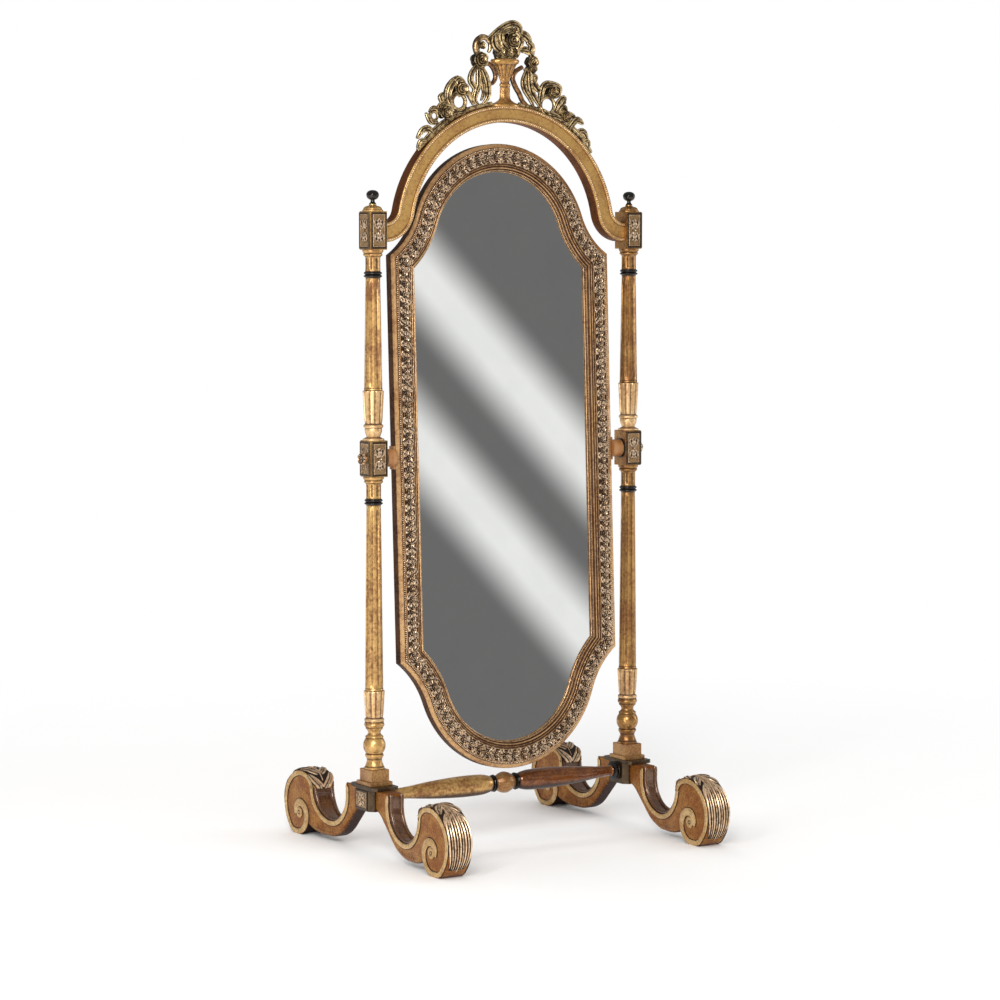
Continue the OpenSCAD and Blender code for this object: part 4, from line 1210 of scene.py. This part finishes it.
# The stretcher
def makeStretcher():
    z = middle("stretcher_ball", 2)
    ball = lathe([(12, -28, 0, 0.6), (14, -27.4, 0, 0.3)]
                 + [(14 + 12.4 * math.sin(math.pi * t), -28 + 56 * t, 0.5 * math.sin(math.pi * t))
                    for t in np.linspace(0.04, 0.96, 17)]
                 + [(14, 27.4, 0, 0.3), (12, 28, 0, 0.6)], 120, 12, 0.9, reeded=True, grooveDarkening=0.5)
    buildPiece("stretcher_ball_gadrooned",
               Stock().take(ball, lambda p: np.column_stack([p[:, 2], p[:, 0], z + p[:, 1]])), "stand",
               "plinthGold", ["stretcher_ball"], sharp=50)
    rings = Stock()
    for side, way in sides.items():
        low, high = span(f"{side}_stretcher_spindle")
        reach = max(abs(low[0]), abs(high[0]))
        profile = [(15, 38, 0, 0.7), (17.5, 40, 0, 0.3), (20.6, 46), (23, 55), (24.8, 66), (25.6, 80),
                   (26, 98), (26, 116), (25.5, 138), (24.5, 160), (22.8, 190), (20.5, 219), (17.9, 245),
                   (15, 271), (12.8, reach - 12), (12.0, reach - 6), (13.5, reach - 3.4),
                   (14.4, reach - 2), (13.4, reach - 0.3, 0, 0.5)]

        def sideways(p):
            return np.column_stack([way * p[:, 2], p[:, 0], z + p[:, 1]])
        spindle = Stock().take(lathe(profile, 96), sideways)
        # painted shade: the spindle darkens on its underside
        below = np.clip(z - 3 - spindle.points[0][:, 2], 0, None) / 20
        spindle.hollow = [spindle.hollow[0] + 1.1 * below]
        # the right spindle takes a darker brown copy of the left one's gold as painted shade
        buildPiece(f"{side}_stretcher_spindle_turned", spindle, "stand",
                   "postGold" if way < 0 else "shadedSpindleBrown",
                   [f"{side}_stretcher_spindle"], sharp=45)
        beside = bulge(17, 21.4, 28.6, 33, 6) + bulge(17.4, 20.4, 33.2, 37.6, 6)
        near = lathe([(14, 28)] + beside + [(15, 38)], 96)
        collar = lathe([(12, reach)] + bulge(17, 23.5, reach + 0.6, reach + 8.2, 7)
                       + bulge(18.5, 22.6, reach + 8.6, reach + 13.4, 6) + [(16, reach + 14)], 96)
        for lump in (near, collar):
            rings.take(lump, sideways)
    buildPiece("stretcher_rings_turned", rings, "stand", "ebonised", ["stretcher_rings"])


makeStretcher()
print("stretcher made")


# The crest
crestCut = {"y": middle("crest_urn", 1), "front": -14, "archR": archCut["outR"],
            "crown": archCut["crown"], "urnTop": span("crest_urn")[1][2]}


def facing(x=0.0, z=0.0, forward=0.0):  # from a flat lump (along, across, height) to the crest's front
    return lambda p: np.column_stack([x + p[:, 0], crestCut["front"] - forward - p[:, 2], z + p[:, 1]])


def makeUrn():
    rows = [(37, 0), (38.5, 2), (38.5, 5), (35, 7.5, 0, 0.5), (26, 11), (18, 16, 0, 0.4), (14.5, 21, 0.3),
            (13.6, 30, 0.6), (13.6, 44, 0.6), (12.6, 48, 0, 0.6), (15, 51), (15, 55), (12, 57, 0, 0.6),
            (12.2, 61, 0.4), (17.5, 74, 0.9), (23.5, 86, 1), (28.5, 96, 0.9), (31.5, 102, 0.2, 0.5),
            (37, 105), (38.5, 109), (38.5, 112), (36, 114.5, 0, 0.3), (31, 115, 0, 0.8)]
    foot = crestCut["crown"] - 4
    urn = lathe([(row[0], foot + row[1], *row[2:]) for row in rows], 112, 14, 1.7, reeded=True)
    buildPiece("crest_urn_gadrooned",
               Stock().take(urn, lambda p: p * [1, 0.6, 1] + [0, crestCut["y"] - 1, 0]), "stand",
               "urnGold", ["crest_urn"], sharp=45)


def roseAt(stock, x, z, r, forward, turn):
    front = setDown(rose(36), 0, 0, 0, r, turn, rise=0.75)
    front.hollow = [0.8 * front.hollow[0] ** 1.4]
    stock.take(front, facing(x, z, forward))
    stock.take(setDown(rose(20, fine=False), 0, 0, 0, r * 0.9, turn, rise=0.55),
               lambda p: np.column_stack([x + p[:, 0], 2 + forward * 0.2 + p[:, 2], z + p[:, 1]]))


def stemAt(stock, points, r0, r1, forward=-7.0, tone=0.0):  # smooth carved stem, fullest midway
    path = smoothed(points)
    t = np.linspace(0, 1, len(path))
    path = np.column_stack([path, np.full(len(path), forward - crestCut["front"])])
    stock.take(tube(path, r0 + (r1 - r0) * t + 1.2 * np.sin(math.pi * t), 12, 1.0, 0.05, tone))


def frondAt(stock, points, width, forward=-4.0, strands=3):
    stock.take(frond(points, width, strands), facing(0, 0, forward))


def ringAt(stock, x, z, radius, thick):
    stock.take(tube(spiral((x, z), radius, radius, 0, 360, 8, 40), thick, 10, 1.3, 0.0))
    stock.take(tube(spiral((x, z), radius + thick * 1.1, radius, 40, 250, 5, 30), thick, 10, 1.2, 0.1))


def alongArch(start, end, lift):  # points that follow the arch's top, by degrees off its crown
    reach = crestCut["archR"] + lift
    turn = np.radians(np.linspace(start, end, 6))
    return np.column_stack([reach * np.sin(turn),
                            crestCut["crown"] - crestCut["archR"] + reach * np.cos(turn)])


# roses: x, z, radius, forward, turn. stems: points, first and last radius, tone
# fronds: points, width, strands. rings: x, z, radius, thickness
crestPlan = {
    "left": {
        "roses": [(-76, 1903, 20, 4, 0.2), (-131, 1833, 19, 4, 1.1), (-175, 1777, 18, 4, 2.0),
                  (-71, 1938, 10, 2, 1.0), (-76, 1886, 11, 1, 0.4)],
        "stems": [([(-46, 1953), (-64, 1958), (-79, 1950), (-85, 1934), (-79, 1916)], 6, 8, 0.5),
                  ([(-66, 1895), (-46, 1894), (-33, 1880), (-29, 1863), (-37, 1849), (-46, 1848)],
                   5.5, 4.2, 1),
                  ([(-49, 1922), (-44, 1933), (-46, 1945), (-54, 1951)], 4, 4, 0),
                  ([(-134, 1818), (-112, 1826), (-96, 1808), (-90, 1797)], 6, 6, 0),
                  ([(-150, 1784), (-162, 1792), (-176, 1792)], 8, 7, 0)],
        "fronds": [([(-82, 1890), (-97, 1872), (-101, 1852), (-89, 1834), (-94, 1817), (-98, 1800)], 13, 3),
                   ([(-79, 1888), (-80, 1864), (-80, 1844), (-87, 1825), (-90, 1807), (-80, 1797)], 13, 3),
                   ([(-72, 1886), (-60, 1862), (-55, 1839), (-55, 1815), (-68, 1797)], 14, 3),
                   ([(-76, 1882), (-69, 1860), (-66, 1841), (-64, 1823), (-70, 1806)], 9, 3),
                   ([(-158, 1792), (-168, 1812), (-163, 1835), (-149, 1852), (-135, 1861)], 19, 4),
                   ([(-120, 1846), (-134, 1856), (-145, 1850), (-150, 1838)], 11, 3),
                   ([(-166, 1786), (-178, 1800), (-185, 1813), (-172, 1823)], 14, 3),
                   ([(-160, 1772), (-176, 1796), (-190, 1790), (-193, 1778)], 12, 3),
                   ([(-196, 1752), (-214, 1752), (-222, 1762), (-228, 1774)], 12, 3),
                   ([(-190, 1772), (-196, 1784), (-208, 1786), (-216, 1776)], 9, 3),
                   ([(-206, 1724), (-222, 1736), (-238, 1732), (-251, 1713)], 15, 3),
                   ([(-226, 1706), (-240, 1708), (-247, 1702), (-252, 1690)], 11, 3),
                   ([(-112, 1790), (-122, 1778), (-146, 1774), (-162, 1764)], 13, 3)],
        "rings": [(-134, 1802, 18.5, 4.6), (-203, 1767, 9.6, 3.2)]},
    "right": {
        "roses": [(74, 1902, 15, 3, 0.7), (73, 1886, 12, 3, 1.9), (132, 1831, 14, 4, 2.2),
                  (170, 1771, 15, 4, 0.1)],
        "stems": [([(66, 1950), (76, 1936), (74, 1918), (72, 1902)], 7, 6, 0),
                  ([(48, 1889), (29, 1878), (20, 1862), (27, 1843), (39, 1825), (48, 1808), (60, 1797)],
                   5.4, 5.4, 1),
                  ([(58, 1886), (66, 1872), (66, 1850)], 7, 6, 0),
                  ([(146, 1780), (160, 1784), (172, 1770), (188, 1756)], 8, 7, 0)],
        "fronds": [([(30, 1967), (49, 1967), (63, 1956), (72, 1938)], 18, 3),
                   ([(38, 1931), (54, 1930), (68, 1926), (76, 1938)], 16, 3),
                   ([(60, 1950), (70, 1940), (66, 1926), (76, 1914)], 14, 3),
                   ([(61, 1878), (71, 1872), (86, 1866), (84, 1852)], 10, 3),
                   ([(59, 1880), (49, 1856), (52, 1836), (66, 1816), (79, 1795)], 13, 3),
                   ([(66, 1880), (66, 1852), (70, 1832), (82, 1813), (95, 1796)], 14, 3),
                   ([(70, 1878), (78, 1854), (90, 1838), (110, 1825)], 15, 3),
                   ([(98, 1806), (102, 1833), (112, 1848), (131, 1848), (151, 1841), (151, 1826),
                     (140, 1817)], 16, 3),
                   ([(140, 1786), (150, 1806), (164, 1817), (168, 1802)], 13, 3),
                   ([(150, 1776), (158, 1794), (170, 1792), (176, 1780)], 14, 3),
                   ([(160, 1782), (184, 1776), (200, 1770)], 13, 3),
                   ([(180, 1742), (198, 1762), (210, 1762), (222, 1754)], 15, 3),
                   ([(202, 1724), (216, 1736), (228, 1732), (238, 1716)], 15, 3),
                   ([(222, 1706), (236, 1712), (240, 1694)], 11, 3),
                   ([(104, 1786), (120, 1776), (142, 1772), (160, 1764)], 13, 3)],
        "rings": [(120, 1798, 20, 4.4)]}}


def makeSpray(side):
    stock = Stock()
    plan, way = crestPlan[side], sides[side]
    stemAt(stock, alongArch(way * 7, way * 50, 5), 6, 4.5, -9)
    frondAt(stock, alongArch(way * 27, way * 51, 8), 15, -5, 4)
    for points, r0, r1, tone in plan["stems"]:
        stemAt(stock, points, r0, r1, tone=tone)
    for k, (points, width, strands) in enumerate(plan["fronds"]):
        frondAt(stock, points, width, -6 + 2.4 * (k % 3), strands)
    for x, z, radius, thick in plan["rings"]:
        ringAt(stock, x, z, radius, thick)
    for x, z, r, forward, turn in plan["roses"]:
        roseAt(stock, x, z, r, forward, turn)
    buildPiece(f"{side}_crest_spray_carved", stock, "stand", "crestGold",
               [f"{side}_crest_spray"])


def makeBouquet():
    stock = Stock()
    top = crestCut["urnTop"]
    for x, z, r, forward, turn in ((12, 1952, 20, 8, 0.3), (-20, 1924, 12, 4, 1.0), (2, 1921, 12, 6, 0.5),
                                   (24, 1922, 11, 3, 2.0), (-26, 1944, 12, 3, 1.5), (22, 1974, 9, 2, 1.5)):
        roseAt(stock, x, z, r, forward, turn)
    for points, width, forward in (([(-53, 1952), (-30, 1971), (-4, 1987), (19, 1992), (34, 1984),
                                     (36, 1970), (26, 1962)], 15, -1),
                                   ([(-40, 1952), (-14, 1970), (7, 1979), (22, 1976)], 14, -3),
                                   ([(-36, 1964), (-38, 1944), (-26, 1930), (-6, 1924)], 18, 0),
                                   ([(-12, 1978), (-18, 1958), (-10, 1940), (4, 1932)], 15, 0),
                                   ([(30, 1972), (38, 1956), (36, 1938), (26, 1928)], 14, 0),
                                   ([(-30, 1914), (-10, 1908), (10, 1908), (32, 1914)], 12, -1)):
        frondAt(stock, points, width, forward)
    # core behind the flowers, painted fully dark as the shade in the gaps
    core = lathe([(8, top - 4), (28, top + 4), (32, top + 18), (31, top + 36), (24, top + 54),
                  (12, top + 70), (2, top + 74)], 40)
    stock.take(core, lambda p: p * [1, 0.36, 1] + [0, crestCut["y"] - 1, 0])
    stock.hollow[-1] = np.ones_like(stock.hollow[-1])
    buildPiece("crest_bouquet_carved", stock, "stand", "crestGold", ["crest_bouquet"])


makeUrn()
makeBouquet()
for side in sides:
    makeSpray(side)
print("crest made")


# Studio floor, light, and a glowing card that paints bands of light into the glass's reflection
studio = {"floorSize": 60, "keyPower": 150, "fillPower": 36, "rimPower": 50, "stripPower": 34,
          "diffuse": 0.85, "glossy": 0.30, "seen": 1.0,
          "bandHigh": 1.052, "bandLow": 0.791, "bandHalf": 0.115, "bandSlope": 0.997,
          "bandBase": 0.175, "bandRise": 0.9}


def stagePlane(name, corners, material):
    mesh = bpy.data.meshes.new(name)
    mesh.from_pydata(corners, [], [(0, 1, 2, 3)])
    mesh.uv_layers.new(name="flat").data.foreach_set("uv", [0, 0, 1, 0, 1, 1, 0, 1])
    mesh.materials.append(material)
    made = bpy.data.objects.new(name, mesh)
    bpy.context.scene.collection.objects.link(made)
    return made


def softLight(name, place, target, size, power, colour=(1, 1, 1)):
    lamp = bpy.data.lights.new(name, "AREA")
    lamp.shape, lamp.size, lamp.size_y, lamp.energy, lamp.color = "RECTANGLE", size[0], size[1], power, colour
    made = bpy.data.objects.new(name, lamp)
    made.location = place
    made.rotation_euler = (Vector(target) - Vector(place)).to_track_quat("-Z", "Y").to_euler()
    bpy.context.scene.collection.objects.link(made)
    return made


def makeFloor():  # pale floor that brightens to white far out, so no edge shows
    f = Finish("paleFloor")
    grain = f.noise(f.place(), 3, 3)
    paint = f.node("BsdfPrincipled", None,
                   {"Base Color": f.mix(grain, rgb(0.90, 0.90, 0.90), rgb(0.88, 0.88, 0.88)),
                                            "Roughness": 0.6})
    reach = f.node("VectorMath", {"operation": "LENGTH"}, {0: f.place()}, out=1)
    white = f.node("Emission", None, {"Color": rgb(1, 1, 1)})
    f.ends(f.node("MixShader", None, {0: f.between(reach, 1.0, 3.2), 1: paint, 2: white}))
    half = studio["floorSize"] / 2
    stagePlane("floor", [(-half, -half, 0), (half, -half, 0), (half, half, 0), (-half, half, 0)], f.material)


def makeGlowingCard():  # glowing card seen only in reflections: grey with two slanting bands of painted light for the glass to show
    f = Finish("glowingReflectionCard")
    look = studio
    flat = f.node("SeparateXYZ", None, {0: f.node("TexCoord", out="UV")})
    height = f.fellow(flat, 1)
    slant = height + flat * look["bandSlope"]

    def band(top):
        rising = f.between(slant, top - look["bandHalf"], top)
        return rising * (1 - f.between(slant, top, top + look["bandHalf"]))
    # painted light: two bright bands over grey
    level = look["bandBase"] + (band(look["bandHigh"]) + band(look["bandLow"])) * look["bandRise"]
    f.ends(f.node("Emission", None, {"Color": f.mix(level, rgb(0, 0, 0), rgb(1, 1, 0.985))}))
    card = stagePlane("glowing_reflection_card",
                      [(0.72, -2.82, 0.005), (2.22, -1.87, 0.005), (2.22, -1.87, 2.3), (0.72, -2.82, 2.3)],
                      f.material)
    card.visible_camera = card.visible_diffuse = card.visible_shadow = False


def makeSky():
    world = bpy.data.worlds.new("studio")
    bpy.context.scene.world = world
    world.use_nodes = True
    tree = world.node_tree
    tree.nodes.clear()
    path = tree.nodes.new("ShaderNodeLightPath")
    last = None
    for ray, strength in ((None, studio["diffuse"]), ("Is Glossy Ray", studio["glossy"]),
                          ("Is Camera Ray", studio["seen"])):
        sky = tree.nodes.new("ShaderNodeBackground")
        sky.inputs["Color"].default_value = rgb(1, 1, 1)
        sky.inputs["Strength"].default_value = strength
        if ray:
            choose = tree.nodes.new("ShaderNodeMixShader")
            tree.links.new(path.outputs[ray], choose.inputs[0])
            tree.links.new(last.outputs[0], choose.inputs[1])
            tree.links.new(sky.outputs[0], choose.inputs[2])
            sky = choose
        last = sky
    output = tree.nodes.new("ShaderNodeOutputWorld")
    tree.links.new(last.outputs[0], output.inputs["Surface"])


def makeStudio():
    makeFloor()
    makeGlowingCard()
    makeSky()
    bpy.context.scene.view_settings.view_transform = "Standard"
    softLight("key", (-3.4, -4.4, 3.4), (0, 0, 1.0), (1.2, 2.2), studio["keyPower"], (1, 0.97, 0.93))
    softLight("strip", (-2.3, -1.5, 1.3), (-0.36, 0, 1.1), (0.35, 2.4), studio["stripPower"], (1, 0.97, 0.93))
    softLight("fill", (4.4, -1.4, 1.8), (0, 0, 0.9), (1.2, 2.4), studio["fillPower"])
    softLight("rim", (1.0, 3.8, 3.4), (0, 0, 1.1), (3.0, 1.0), studio["rimPower"]).visible_glossy = False


makeStudio()
setCamera()
print("studio made")
